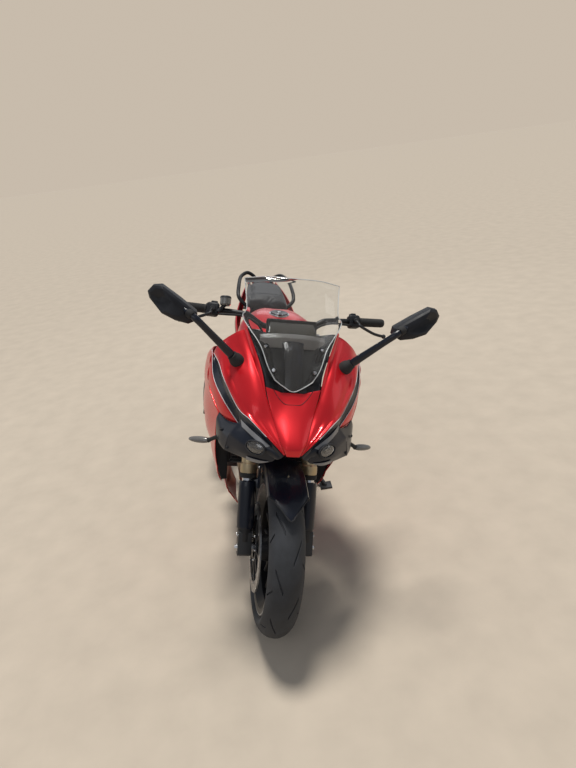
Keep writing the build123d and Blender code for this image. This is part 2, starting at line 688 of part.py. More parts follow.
def make_nose_cowl(upper_cowl):
    """The beak, with its flat front between two creases."""
    beak = panel([[(-x, y, z) for x, y, z in beak_crease], [(-x, y, z) for x, y, z in beak_edge],
                  beak_edge, beak_crease], cowl_wall)
    return (beak - pair(upper_cowl)).solids().sort_by(SortBy.VOLUME)[-1]


def make_upper_cowl():
    """The red panel between the screen, the beak, the mirror foot and the lamp."""
    return panel([screen_line, ridge_line, crest_line, flank_line, brow_line], cowl_wall)


def make_accent():
    """The black hollow strip between the red panels, with the tab that joins it to the lamp cowl."""
    upper = [(174, -722, 844), (222, -641, 906), (242, -574, 937), (258, -510, 945)]
    deep = [(164, -718, 818), (213, -643, 873), (239, -571, 907), (255, -511, 940)]
    lower = [(162, -722, 796), (217, -651, 851), (250, -575, 890), (259, -511, 936)]
    return panel([upper, deep, lower], cowl_wall - 1) + rod((168, -728, 818), (163, -702, 826), 8)


def make_side_cowl(frame):
    """The side panel from the lamp back to the tank and down to the radiator, with its pointed front."""
    # Each line runs back from the panel's front edge.
    side = panel([[(266, -500, 948), (268, -440, 944), (262, -360, 930), (236, -270, 900), (206, -210, 868)],
                  [(280, -480, 906), (287, -410, 896), (284, -330, 872), (262, -240, 830), (232, -180, 790)],
                  [(276, -518, 851), (286, -420, 800), (288, -320, 742), (268, -220, 690), (244, -150, 650)],
                  [(232, -640, 790), (272, -500, 700), (284, -380, 660), (276, -280, 620), (250, -180, 590)],
                  [(238, -560, 650), (250, -450, 580), (258, -370, 550), (252, -290, 530), (234, -205, 510)],
                  [(222, -438, 450), (230, -380, 435), (226, -320, 425), (222, -260, 415), (222, -210, 410)],
                  [(201, -420, 375), (200, -370, 350), (196, -310, 338), (192, -260, 336), (192, -222, 340)]],
                 cowl_wall)
    point = panel([accent_line, [(162, -724, 779), (231, -640, 790), (276, -518, 851), (280, -480, 906)]], cowl_wall)
    stay = rod((186, -230, 758), (264, -230, 772), 8)
    return (side + point + stay - frame).solids().sort_by(SortBy.VOLUME)[-1]


def make_lamp_cowl(lens):
    """The black cowl below the red panel: brow, facets round the lamp, and flank."""
    brow = [(28, -864, 758), (84, -830, 800), (134, -780, 830), (173, -721, 843)]
    lip = [(34, -862, 750), (84, -826, 788), (134, -777, 818), (170, -722, 830)]
    facet = [(44, -858, 742), (84, -834, 778), (132, -788, 798), (166, -732, 806)]
    lamp = [(50, -846, 736), (100, -836, 764), (148, -800, 762), (196, -742, 768)]
    sill = [(58, -846, 728), (104, -836, 734), (152, -800, 730), (204, -740, 730)]
    bottom = [(76, -838, 719), (110, -826, 712), (152, -790, 706), (207, -740, 701)]
    front = panel([brow, lip, facet, lamp, sill, bottom], cowl_wall)
    flank = panel([[(164, -730, 786), (204, -690, 783), (231, -642, 788)],
                   [(192, -744, 760), (222, -696, 756), (240, -640, 766)],
                   [(204, -741, 701), (225, -706, 706), (237, -660, 716)]], cowl_wall)
    return front + flank + make_accent() - lens


def make_headlamp():
    """One oval lens that fills its opening in the lamp cowl."""
    plane = Plane(origin=(113, -827, 765), x_dir=(0.83, 0.55, 0), z_dir=(0.533, -0.827, 0.18))
    lens = extrude(plane.offset(-14) * Ellipse(31, 19), 19)
    return fillet(lens.edges().group_by(lambda edge: edge.distance_to(plane.offset(5).origin))[0], 3)


def make_windscreen():
    """Clear screen with kinked sides; lines run from the middle to the edge."""
    middle = [(0, -724, 910), (0, -700, 970), (0, -650, 1037), (0, -590, 1095), (0, -540, 1140), (0, -470, 1225)]
    between = [(30, -716, 928), (48, -690, 972), (66, -638, 1037), (100, -566, 1098), (96, -526, 1138),
               (96, -448, 1218)]
    edge = [(62, -700, 950), (86, -680, 982), (112, -620, 1034), (171, -520, 1092), (160, -497, 1125),
            (170, -402, 1204)]
    lines = [[(-x, y, z) for x, y, z in edge], [(-x, y, z) for x, y, z in between], middle, between, edge]
    return panel(lines, screen_wall, inside=(0, -300, 900))


def make_dash(upper_cowl, nose_cowl, windscreen):
    """The inner panel, which fills the space under the screen, and the display behind it."""
    edge = [(x - 5, y + 4, z - 5) for x, y, z in screen_line[3:]]
    middle = [(x * 0.55, y + 6, z - 16) for x, y, z in edge]
    floor = [(0, y + 8, z - 22) for x, y, z in edge]
    tray = panel([[(-x, y, z) for x, y, z in edge], [(-x, y, z) for x, y, z in middle], floor, middle, edge],
                 cowl_wall, inside=(0, -560, 860))
    display = Pos(0, -520, 1046) * Rot(-35, 0, 0) * fillet(Box(176, 26, 100).edges(), 6)
    foot = rod((0, -566, 1010), (0, -524, 1046), 14)
    bosses = rod((84, -622, 984), (93, -625, 1036), 8) + rod((52, -684, 930), (66, -690, 978), 7)
    bosses += rod((112, -622, 995), (146, -622, 1000), 7)
    dash = tray + display + foot + bosses + mirrored(bosses)
    return (dash - pair(upper_cowl) - nose_cowl - windscreen).solids().sort_by(SortBy.VOLUME)[-1]


def make_mirrors(cowl):
    """Mirror housing, stalk and foot on the left, seated on the cowl."""
    base, neck, tip = Vector(184, -617, 972), Vector(321, -673, 1119), Vector(475, -614, 1179)
    stalk = bent_tube([tuple(base), tuple(neck), (366, -640, 1142)], 11, 24)
    foot = rod(tuple(base - (neck - base) * 0.06), tuple(base + (neck - base) * 0.12), 22)
    outline = [(300, 1108), (330, 1150), (420, 1196), (470, 1190), (478, 1172), (440, 1122), (360, 1092)]
    back = [(330, 1118), (350, 1142), (418, 1176), (450, 1172), (452, 1158), (428, 1132), (364, 1108)]
    wires = [Wire.make_polygon([(x, -664, z) for x, z in back]),
             Wire.make_polygon([(x, -630, z) for x, z in outline]),
             Wire.make_polygon([(x, -608, z) for x, z in outline])]
    housing = Solid.make_loft(wires, ruled=True)
    glass = front_plate([(x * 0.94 + 23, z * 0.94 + 69) for x, z in outline], -608, -604)
    seated = (foot + stalk + housing - cowl).solids().sort_by(SortBy.VOLUME)[-1]
    return {"mirrors": pair(seated), "mirror_glass": pair(glass - seated)}


def make_tank():
    # y, half_low, z_low, half_mid, z_mid, half_top, z_top
    tank = body_loft([(-318, 60, 886, 78, 908, 50, 945), (-230, 118, 820, 152, 890, 92, 985),
                      (-90, 128, 800, 172, 890, 96, 1003), (60, 112, 800, 146, 880, 84, 984),
                      (150, 86, 800, 108, 850, 62, 930), (190, 70, 800, 84, 830, 50, 860)], 14)
    tank -= Pos(0, cap_y, cap_floor + 20) * Cylinder(cap_ring_radius, 40)
    return tank - Pos(0, cap_y, cap_floor) * Cylinder(filler_radius, 2 * filler_depth)


def make_seats():
    rider = body_loft([(200, 68, 760, 88, 800, 70, 845), (280, 104, 752, 130, 782, 100, 826),
                       (400, 128, 760, 152, 800, 122, 832), (440, 126, 780, 146, 830, 110, 868)], 12)
    pillion = body_loft([(446, 100, 850, 118, 895, 84, 928), (560, 104, 872, 124, 905, 92, 944),
                         (700, 92, 890, 112, 918, 84, 958), (780, 72, 900, 92, 925, 66, 956)], 10)
    return rider, pillion


def make_tail(subframe, tray):
    top = [(150, 250, 770), (160, 440, 830), (138, 620, 880), (112, 800, 905), (78, 950, 925)]
    mid = [(152, 230, 740), (166, 440, 790), (146, 620, 845), (118, 800, 880), (76, 960, 905)]
    low = [(134, 240, 700), (140, 440, 755), (124, 620, 820), (96, 800, 862), (60, 950, 885)]
    side = panel([top, mid, low], cowl_wall, inside=(0, 500, 800))
    tabs = rod((104, 430, 742), (152, 430, 770), 8) + rod((74, 800, 832), (104, 800, 868), 8)
    return pair((side + tabs - subframe - tray).solids().sort_by(SortBy.VOLUME)[-1])


def make_tail_tray(subframe, seats):
    """The tray between the rails that carries both seats."""
    tray = beam([(216, -112, 112, 648, 786), (330, -112, 112, 700, 790), (440, -106, 106, 750, 806),
                 (446, -105, 105, 752, 868), (520, -99, 99, 782, 890), (780, -79, 79, 828, 908),
                 (930, -60, 60, 848, 908)])
    for seat in seats:
        tray -= seat
    return (tray - subframe).solids().sort_by(SortBy.VOLUME)[-1]


def make_grab_rails(tray, seat):
    rail = bent_tube([(84, 575, 852), (122, 575, 868), (154, 606, 904), (152, 680, 935), (144, 810, 958),
                      (98, 905, 978), (48, 915, 944), (48, 915, 880)], 10, 16)
    return pair((rail - tray - seat).solids().sort_by(SortBy.VOLUME)[-1])


def make_tail_light():
    """The lens, and its housing that seats on the end of the tray."""
    lens = front_plate([(-60, 892), (60, 892), (72, 922), (-72, 922)], 955, 985, 6)
    return lens + front_plate([(-50, 878), (50, 878), (54, 906), (-54, 906)], 930, 960)


def make_plate_holder(tray):
    stem = beam([(860, -40, 40, 816, 842), (960, -34, 34, 756, 778), (1106, -30, 30, 634, 656)])
    board = plate_frame * Box(170, plate_board, 76)
    for side in (-1, 1):
        board -= plate_frame * Pos(side * plate_holes / 2, 0, 0) * Rot(90, 0, 0) * Cylinder(plate_hole_radius, 20)
    return (stem + board - tray).solids().sort_by(SortBy.VOLUME)[-1]


def make_signals(lamp_cowl, plate_holder):
    front = rod((214, -676, 724), (280, -626, 682), 8) + Pos(294, -622, 676) * Rot(0, 18, -14) * Box(76, 22, 20)
    front = (front - lamp_cowl).solids().sort_by(SortBy.VOLUME)[-1]
    rear = rod((20, 985, 742), (78, 985, 742), 7) + Pos(102, 985, 742) * Box(64, 22, 20)
    rear = (rear - plate_holder).solids().sort_by(SortBy.VOLUME)[-1]
    return Compound(list(pair(front).solids()) + list(pair(rear).solids()))


def make_under_cowl():
    top = [(178, -380, 330), (186, -245, 296), (172, -60, 270)]
    mid = [(158, -376, 285), (165, -240, 240), (150, -60, 225)]
    low = [(104, -372, 215), (122, -240, 168), (120, -60, 152)]
    side = panel([top, mid, low], cowl_wall, inside=(0, -200, 300))
    side += rod((92, -150, 262), (167, -150, 262), 7) + rod((92, -90, 258), (165, -90, 258), 7)
    return pair(side)


def make_pegs(subframe):
    outside = frame_inside + frame_wall
    bracket = side_plate([(150, 470), (190, 500), (262, 380), (258, 345), (216, 314), (184, 316), (176, 340),
                          (214, 372)], outside + 8, outside + 18)
    for y, z in ((172, 462), (196, 430)):
        bracket += Pos(0, y, z) * disc_x(11, outside, outside + 10)
    peg = rod((158, 240, 362), (300, 240, 366), 12)
    hanger = side_plate([(430, 640), (470, 660), (530, 540), (520, 515), (500, 515)], 122, 132)
    hanger += rod((100, 452, 642), (124, 452, 642), 12)
    rear_peg = rod((130, 515, 530), (236, 515, 532), 11)
    hanger = (hanger + rear_peg - subframe).solids().sort_by(SortBy.VOLUME)[-1]
    return Compound(list(pair(bracket + peg).solids()) + list(pair(hanger).solids()))


def make_foot_levers():
    """The shift lever on the left and the brake pedal on the right."""
    outside = frame_inside + frame_wall + 18
    hub = Pos(0, 200, 334) * disc_x(12, outside, outside + 14)
    shift = bent_tube([(168, 200, 334), (182, 120, 322), (186, 70, 340)], 6, 30)
    shift += rod((184, 70, 340), (240, 66, 342), 9) + hub
    brake = bent_tube([(168, 200, 334), (182, 120, 306), (190, 60, 306)], 7, 30)
    brake += rod((190, 60, 306), (246, 56, 308), 9) + hub
    return Compound(list(shift.solids()) + list(mirrored(brake).solids()))


def make_rear_caliper():
    half_gap = rear_disc_width / 2 + 3
    block = Pos(-rear_disc_x, 0, 104) * Box(50, 84, 50)
    slot = disc_x(rear_disc_radius + 4, -rear_disc_x - half_gap, -rear_disc_x + half_gap)
    centre = Rot(48, 0, 0) * Pos(0, 0, 104)
    arms = make_hull((Circle(26) + Pos(centre.position.Y, centre.position.Z) * Circle(26)).edges())
    hanger = extrude(Plane.YZ.offset(-126) * arms, 10) - disc_x(rear_axle_radius + 6, -200, 0)
    return Pos(*rear_axle) * (Rot(48, 0, 0) * block + hanger - slot)


def make_chain_guard(swingarm):
    """A strip along the chain's top run, a few millimetres above it."""
    gap, wall = 9, 5
    front, rear, small, large, up, _ = chain_tangents()
    (y0, z0), (y1, z1) = around(front, small + plate_half, up), around(rear, large + plate_half, up)

    def above(share, rise):
        return (y0 + (y1 - y0) * share, z0 + (z1 - z0) * share + rise)

    outline = [above(0.42, gap), above(0.92, gap), above(0.92, gap + wall), above(0.42, gap + wall)]
    guard = side_plate(outline, chain_x - 11.5, chain_x + 14)
    lug_low, lug_high = above(0.56, -70), above(0.56, gap + 2)
    lug = side_plate([lug_low, (lug_low[0] + 28, lug_low[1]), (lug_high[0] + 28, lug_high[1] - 2), lug_high],
                     chain_x + chain_side + 3, chain_x + 14)
    return (guard + lug - swingarm).solids().sort_by(SortBy.VOLUME)[-1]


def make_fuel_cap():
    """The filler's ring, with the hinge's ears in front, and its lid."""
    up = (Align.CENTER, Align.CENTER, Align.MIN)
    ring = Pos(0, cap_y, cap_floor) * (Cylinder(cap_ring_radius, cap_ring_height, align=up)
                                       - Cylinder(33, cap_ring_height, align=up))
    lid_floor = cap_floor + cap_ring_height + seat_gap
    lid = Pos(0, cap_y, lid_floor) * Cylinder(36, 4, align=up)
    plug_floor = cap_floor - 6
    lid += Pos(0, cap_y, plug_floor) * Cylinder(filler_radius - 4, lid_floor - plug_floor, align=up)
    barrel = disc_x(3, -6, 6)
    lid += Pos(*cap_hinge) * barrel + Pos(0, cap_hinge[1] + 5, cap_hinge[2] - 1) * Box(12, 10, 4)
    lid -= Pos(*cap_hinge) * disc_x(1.5 + running_gap, -6, 6)
    ring += Pos(*cap_hinge) * disc_x(1.5, -10, 10)
    for side in (-1, 1):
        ends = sorted((side * 6.5, side * 10))
        ring += Pos(*cap_hinge) * disc_x(3, *ends)
        ring += Pos(side * 8.25, cap_hinge[1], cap_floor + cap_ring_height) * Box(3.5, 5, 4, align=up)
    return ring, lid


# Side stand, whose foot is set from the floor under the leaned bike

def lean_placement():
    """Lean and pitch that stand both tyres on the floor."""
    pitch, lift = 0.0, 0.0
    for _ in range(20):
        place = Pos(0, 0, lift) * Rot(pitch, 0, 0) * Rot(0, lean, 0)
        drops = []
        for frame, radius, crown in (
                (place * fork_frame * Rot(0, 0, rest_steer) * wheel_in_fork, front_tyre_radius, front_crown),
                (place * Pos(*rear_axle), rear_tyre_radius, rear_crown)):
            centre, axle = frame.position, frame.x_axis.direction
            drops.append(centre.Z - (radius - crown) * sqrt(1 - axle.Z ** 2) - crown)
        pitch += degrees(asin((drops[0] - drops[1]) / wheelbase))
        lift -= drops[1]
    return Pos(0, 0, lift) * Rot(pitch, 0, 0) * Rot(0, lean, 0)


def foot_on_floor():
    """The stand's foot in the leaned frame, on the floor."""
    guess = (leaned * Pos(stand_foot[0], stand_foot[1], 85)).position
    return Pos(guess.X, guess.Y, 0)


def stand_plane():
    """The hinge's plane: X down the leg, Z the pivot's axis."""
    foot = (leaned.inverse() * foot_on_floor()).position
    leg = foot - Vector(*stand_pivot)
    return Plane(origin=stand_pivot, x_dir=leg, z_dir=leg.cross(Vector(*stand_stowed)).normalized())


def make_side_stand():
    plane = stand_plane()
    foot = leaned.inverse() * foot_on_floor()
    length = (foot.position - Vector(*stand_pivot)).length
    eye = plane * (Circle(stand_eye) + Pos(20, 0) * Rectangle(40, 2 * stand_rod))
    stand = extrude(eye, stand_half, both=True)
    top, bottom = plane.from_local_coords((30, 0, 0)), plane.from_local_coords((length - 8, 0, 0))
    stand += rod(tuple(top), tuple(bottom), stand_rod)
    stand += foot * (Pos(0, 0, stand_pad / 2) * Box(60, 56, stand_pad))
    return stand - extrude(plane * Circle(stand_bolt + running_gap), 40, both=True)


def make_stand_bracket():
    """Two ears and the bolt that hold the stand, on the left pivot plate."""
    plane = stand_plane()
    root = plane.to_local_coords(Vector(frame_inside + frame_wall / 2, 158, 322))
    ear = make_hull((Circle(stand_eye) + Pos(root.X, root.Y) * Circle(14)).edges())
    bracket = extrude(plane * Pos(root.X, root.Y) * Circle(14), stand_half + 9, both=True)
    for side in (-1, 1):
        bracket += extrude(plane.offset(side * (stand_half + 0.5)) * ear, side * 8)
    return bracket + extrude(plane * Circle(stand_bolt), stand_half + 9, both=True)


# Assembly

def in_frame(location, nodes):
    return {name: location * shape for name, shape in nodes.items()}


leaned = lean_placement()
steered = fork_frame * Rot(0, 0, rest_steer)
engine = make_engine()
muffler = make_muffler()
swingarm = make_swingarm()
subframe = make_subframe()
upper_cowl = make_upper_cowl()
nose_cowl = make_nose_cowl(upper_cowl)
windscreen = make_windscreen()
headlamp = make_headlamp()
lamp_cowl = make_lamp_cowl(headlamp)
dash = make_dash(upper_cowl, nose_cowl, windscreen)
rider_seat, pillion_seat = make_seats()
tail_tray = make_tail_tray(subframe, (rider_seat, pillion_seat))
cap_ring, fuel_cap = make_fuel_cap()
fuel_tank = make_tank() + cap_ring
main_frame = make_frame(fuel_tank, dash)
plate_holder = make_plate_holder(tail_tray)

upright = {
    "main_frame": main_frame,
    "subframe": subframe,
    "engine": engine,
    "engine_covers": make_engine_covers(engine),
    "radiator": make_radiator(engine),
    "exhaust": make_exhaust(muffler, engine),
    "muffler": muffler,
    "swingarm": swingarm,
    "rear_axle": make_rear_axle(),
    "rear_shock": make_shock(main_frame, swingarm),
    "chain": make_chain(),
    "chain_guard": make_chain_guard(swingarm),
    "rear_caliper": make_rear_caliper(),
    "nose_cowl": nose_cowl,
    "upper_cowls": pair(upper_cowl),
    "side_cowls": pair(make_side_cowl(main_frame)),
    "lamp_cowls": pair(lamp_cowl),
    "headlamps": pair(headlamp),
    "windscreen": windscreen,
    "dash": dash,
    "fuel_tank": fuel_tank,
    "fuel_cap": fuel_cap,
    "rider_seat": rider_seat,
    "pillion_seat": pillion_seat,
    "tail_tray": tail_tray,
    "tail_cowls": make_tail(subframe, tail_tray),
    "grab_rails": make_grab_rails(tail_tray, pillion_seat),
    "tail_light": make_tail_light(),
    "plate_holder": plate_holder,
    "turn_signals": make_signals(lamp_cowl, plate_holder),
    "under_cowls": make_under_cowl(),
    "footpegs": make_pegs(subframe),
    "foot_levers": make_foot_levers(),
    "side_stand": make_side_stand(),
}
upright.update(make_mirrors(upper_cowl))
upright.update(in_frame(Pos(*rear_axle), make_rear_wheel()))
upright.update(in_frame(steered, make_steering()))
upright.update(in_frame(steered * wheel_in_fork, make_front_wheel()))

placed = in_frame(leaned, upright)
whole = Compound([solid for shape in placed.values() for solid in shape.solids()]).bounding_box()
to_origin = Pos(-(whole.min.X + whole.max.X) / 2, -(whole.min.Y + whole.max.Y) / 2, -whole.min.Z)

os.makedirs("parts", exist_ok=True)
for name, shape in placed.items():
    export_step(to_origin * shape, f"parts/{name}.step")
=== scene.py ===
import math

import bmesh
import bpy
from mathutils import Matrix, Vector, geometry


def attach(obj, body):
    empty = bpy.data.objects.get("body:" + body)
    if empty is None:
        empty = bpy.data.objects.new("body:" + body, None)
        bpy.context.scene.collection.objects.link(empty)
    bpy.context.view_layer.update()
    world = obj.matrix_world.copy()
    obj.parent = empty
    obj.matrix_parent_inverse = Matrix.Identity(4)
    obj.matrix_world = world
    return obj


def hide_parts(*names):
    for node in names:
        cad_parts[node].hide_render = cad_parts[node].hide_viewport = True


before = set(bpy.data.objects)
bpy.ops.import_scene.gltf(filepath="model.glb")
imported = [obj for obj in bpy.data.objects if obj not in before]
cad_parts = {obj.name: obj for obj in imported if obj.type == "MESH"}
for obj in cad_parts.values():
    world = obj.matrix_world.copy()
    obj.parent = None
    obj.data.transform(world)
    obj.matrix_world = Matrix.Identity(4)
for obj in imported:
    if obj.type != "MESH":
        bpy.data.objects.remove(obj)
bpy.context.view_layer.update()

# The bike's own upright frame and its steered fork frame, placed in the row's frame, in metres
bikeFrame = Matrix(((0.972125, 0.0, 0.234463, -0.262341),
                    (0.000287, 0.999999, -0.00119, -0.04422),
                    (-0.234463, 0.001224, 0.972124, 0.002936),
                    (0, 0, 0, 1)))
forkFrame = Matrix(((0.967605, -0.136333, 0.212496, -0.195585),
                    (0.035097, 0.90613, 0.42154, -0.741737),
                    (-0.250019, -0.400426, 0.881561, 0.278867),
                    (0, 0, 0, 1)))

# Driving sizes of the chassis, in mm
chassis = {"frontAxle": -36.154, "rearAxle": (730, 311), "forkHalf": 112, "frontTyre": 300, "rearTyre": 311,
           "bead": 218}
sides = (1, -1)


# Places: each takes mm in its own frame

def onBike(x, y, z):
    return bikeFrame @ Vector((x / 1000, y / 1000, z / 1000))


def onFork(x, y, z):
    return forkFrame @ Vector((x / 1000, y / 1000, z / 1000))


def onFrontWheel(x, y, z):
    return onFork(x, y + chassis["frontAxle"], z)


def onRearWheel(x, y, z):
    return onBike(x, y + chassis["rearAxle"][0], z + chassis["rearAxle"][1])


# The same place on the left side, or mirrored on the right
def onSide(side, place=onBike):
    return lambda x, y, z: place(side * x, y, z)


# The same place turned about its X axis
def turned(place, turn):
    cos, sin = math.cos(turn), math.sin(turn)
    return lambda x, y, z: place(x, y * cos - z * sin, y * sin + z * cos)


# Shapes

# A smooth line through all the given points
def smoothLine(points, steps):
    knots = [Vector(point) for point in points]
    if len(knots) < 3:
        return [knots[0].lerp(knots[-1], step / steps) for step in range(steps + 1)]
    ends = [2 * knots[0] - knots[1]] + knots + [2 * knots[-1] - knots[-2]]
    line = []
    for a, b, c, d in zip(ends, ends[1:], ends[2:], ends[3:]):
        for step in range(steps):
            t = step / steps
            line.append(0.5 * (2 * b + (c - a) * t + (2 * a - 5 * b + 4 * c - d) * t ** 2
                               + (3 * b - a - 3 * c + d) * t ** 3))
    line.append(knots[-1])
    return line


def circle(radius, count, first=0.0):
    turns = [first + math.tau * step / count for step in range(count)]
    return [(radius * math.cos(turn), radius * math.sin(turn)) for turn in turns]


def linkMesh(mesh, look):
    mesh.materials.clear()
    mesh.materials.append(looks[look])
    obj = bpy.data.objects.new("part", mesh)
    bpy.context.collection.objects.link(obj)
    return obj


def meshObject(points, faces, look, place=onBike):
    mesh = bpy.data.meshes.new("part")
    mesh.from_pydata([place(*point) for point in points], [], faces)
    return linkMesh(mesh, look)


# Faces of a grid of points, row by row; wrapped sides join their last points to their first
def gridFaces(rows, columns, wrapColumns=False, wrapRows=False):
    faces = []
    for i in range(rows if wrapRows else rows - 1):
        low, high = i * columns, (i + 1) % rows * columns
        for j in range(columns if wrapColumns else columns - 1):
            k = (j + 1) % columns
            faces.append((low + j, low + k, high + k, high + j))
    return faces


# Turns faces outwards after doubled points are merged
def faceOut(obj, merge=0.0):
    build = bmesh.new()
    build.from_mesh(obj.data)
    if merge:
        bmesh.ops.remove_doubles(build, verts=build.verts, dist=merge)
    bmesh.ops.recalc_face_normals(build, faces=build.faces)
    build.to_mesh(obj.data)
    build.free()


def shadeMesh(mesh, sharp):
    mesh.shade_smooth()
    mesh.set_sharp_from_angle(angle=math.radians(sharp))


# Bakes the modifiers into the mesh and shades it smooth, with sharp edges above an angle
def applyModifiers(obj, sharp=35):
    graph = bpy.context.evaluated_depsgraph_get()
    mesh = bpy.data.meshes.new_from_object(obj.evaluated_get(graph))
    obj.modifiers.clear()
    obj.data = mesh
    shadeMesh(mesh, sharp)
    return obj


def addBevel(obj, width, segments=2, angle=24):
    edge = obj.modifiers.new("edge", "BEVEL")
    edge.width = width / 1000
    edge.segments = segments
    edge.limit_method = "ANGLE"
    edge.angle_limit = math.radians(angle)


def addSmooth(obj, levels):
    smooth = obj.modifiers.new("smooth", "SUBSURF")
    smooth.levels = levels
    smooth.render_levels = levels


# One visible piece: its parts joined, carried by a body, and standing for CAD nodes
def piece(name, parts, body, slot, *replaced):
    obj = parts[0]
    if len(parts) > 1:
        whole = bmesh.new()
        for part in parts:
            whole.from_mesh(part.data)
        mesh = bpy.data.meshes.new(name)
        whole.to_mesh(mesh)
        whole.free()
        mesh.materials.append(obj.data.materials[0])
        for part in parts:
            bpy.data.objects.remove(part)
        obj = bpy.data.objects.new(name, mesh)
        bpy.context.collection.objects.link(obj)
    obj.name = name
    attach(obj, body)
    if replaced:
        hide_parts(*replaced)
    return obj


# Panels through crease lines, smooth along them, in mm. Between them they bow away from the place inside by
# crown, but by no more than a share of the distance between the lines
def makeSkin(lines, look, inside, wall, along=8, across=5, crown=0.0, bevel=1.2, mirror=True,
             place=onBike):
    rows = [smoothLine(line, along) for line in lines]
    grid = [rows[0]]
    for low, high in zip(rows, rows[1:]):
        for step in range(1, across + 1):
            t = step / across
            row = []
            for j, (a, b) in enumerate(zip(low, high)):
                ahead = low[min(j + 1, len(low) - 1)] - low[max(j - 1, 0)]
                normal = ahead.cross(b - a)
                if normal.length > 1e-6:
                    normal.normalize()
                if normal.dot(Vector(inside) - a) > 0:
                    normal = -normal
                row.append(a.lerp(b, t) + normal * min(crown, 0.12 * (b - a).length) * 4 * t * (1 - t))
            grid.append(row)
    parts = []
    for side in sides if mirror else (1,):
        put = onSide(side, place)
        obj = meshObject([point for row in grid for point in row], gridFaces(len(grid), len(grid[0])),
                         look, put)
        faceOut(obj, 0.0001)
        middle = put(*inside)
        if sum(face.normal.dot(face.center - middle) for face in obj.data.polygons) < 0:
            obj.data.flip_normals()
        solid = obj.modifiers.new("wall", "SOLIDIFY")
        solid.thickness = wall / 1000
        solid.offset = -1
        addBevel(obj, bevel)
        parts.append(applyModifiers(obj))
    return parts


# A round tube along a smooth line
def makeTube(points, radius, look, place=onBike, smooth=6, around=8):
    path = bpy.data.curves.new("path", "CURVE")
    path.dimensions = "3D"
    path.bevel_depth = radius / 1000
    path.bevel_resolution = around // 2
    path.use_fill_caps = True
    spline = path.splines.new("POLY")
    line = smoothLine(points, smooth)
    spline.points.add(len(line) - 1)
    for knot, point in zip(spline.points, line):
        knot.co = (*place(*point), 1)
    holder = bpy.data.objects.new("path", path)
    bpy.context.collection.objects.link(holder)
    graph = bpy.context.evaluated_depsgraph_get()
    mesh = bpy.data.meshes.new_from_object(holder.evaluated_get(graph))
    bpy.data.objects.remove(holder)
    shadeMesh(mesh, 50)
    return linkMesh(mesh, look)


# A closed body through rings that hold as many points each
def makeLoft(rings, look, place=onBike, subdivide=1, sharp=35, bevel=0.0):
    count = len(rings[0])
    last = (len(rings) - 1) * count
    faces = gridFaces(len(rings), count, True)
    faces += [tuple(reversed(range(count))), tuple(range(last, last + count))]
    obj = meshObject([point for ring in rings for point in ring], faces, look, place)
    faceOut(obj)
    if bevel:
        addBevel(obj, bevel, 3)
    if subdivide:
        addSmooth(obj, subdivide)
    return applyModifiers(obj, sharp)


# A body turned about the X axis from a profile of (x, radius)
def makeLathe(profile, look, place, around=96, closed=True):
    points = []
    for side in range(around):
        angle = math.tau * side / around
        points += [(x, radius * math.sin(angle), radius * math.cos(angle)) for x, radius in profile]
    obj = meshObject(points, gridFaces(around, len(profile), closed, True), look, place)
    faceOut(obj, 0.00001)
    return applyModifiers(obj, 30)


# A bar turned about the line from one point to another, from a profile of (share of the run, radius)
def makeTurned(start, end, profile, look, place=onBike, around=32):
    start = Vector(start)
    run = Vector(end) - start
    turn = run.to_track_quat("X", "Z")

    def along(x, y, z):
        return place(*(start + turn @ Vector((x * run.length, y, z))))

    closed = [(profile[0][0], 0.01)] + profile + [(profile[-1][0], 0.01)]
    return makeLathe(closed, look, along, around)


# A plate with holes, from its outline and holes in (u, v), drawn by plane to two faces
def makeHoledPlate(outline, holes, plane, near, far, look, place=onBike, bevel=0.0):
    loops = [outline] + holes
    flat = [Vector((u, v, 0)) for loop in loops for u, v in loop]
    caps = geometry.tessellate_polygon([[Vector((u, v, 0)) for u, v in loop] for loop in loops])
    count = len(flat)
    points = [plane(point.x, point.y, depth) for depth in (near, far) for point in flat]
    faces = [tuple(face) for face in caps]
    faces += [tuple(index + count for index in reversed(face)) for face in caps]
    start = 0
    for loop in loops:
        for j in range(len(loop)):
            a, b = start + j, start + (j + 1) % len(loop)
            faces.append((a, b, b + count, a + count))
        start += len(loop)
    obj = meshObject(points, faces, look, place)
    faceOut(obj)
    if bevel:
        addBevel(obj, bevel, 2, 50)
    return applyModifiers(obj, 30)


# A node of a tree with its settings; a value that is a socket is linked, any other is set
def addNode(tree, kind, inputs, **settings):
    node = tree.nodes.new(kind)
    for key, value in settings.items():
        setattr(node, key, value)
    for key, value in inputs.items():
        if isinstance(value, bpy.types.NodeSocket):
            tree.links.new(value, node.inputs[key])
        else:
            node.inputs[key].default_value = value
    return node


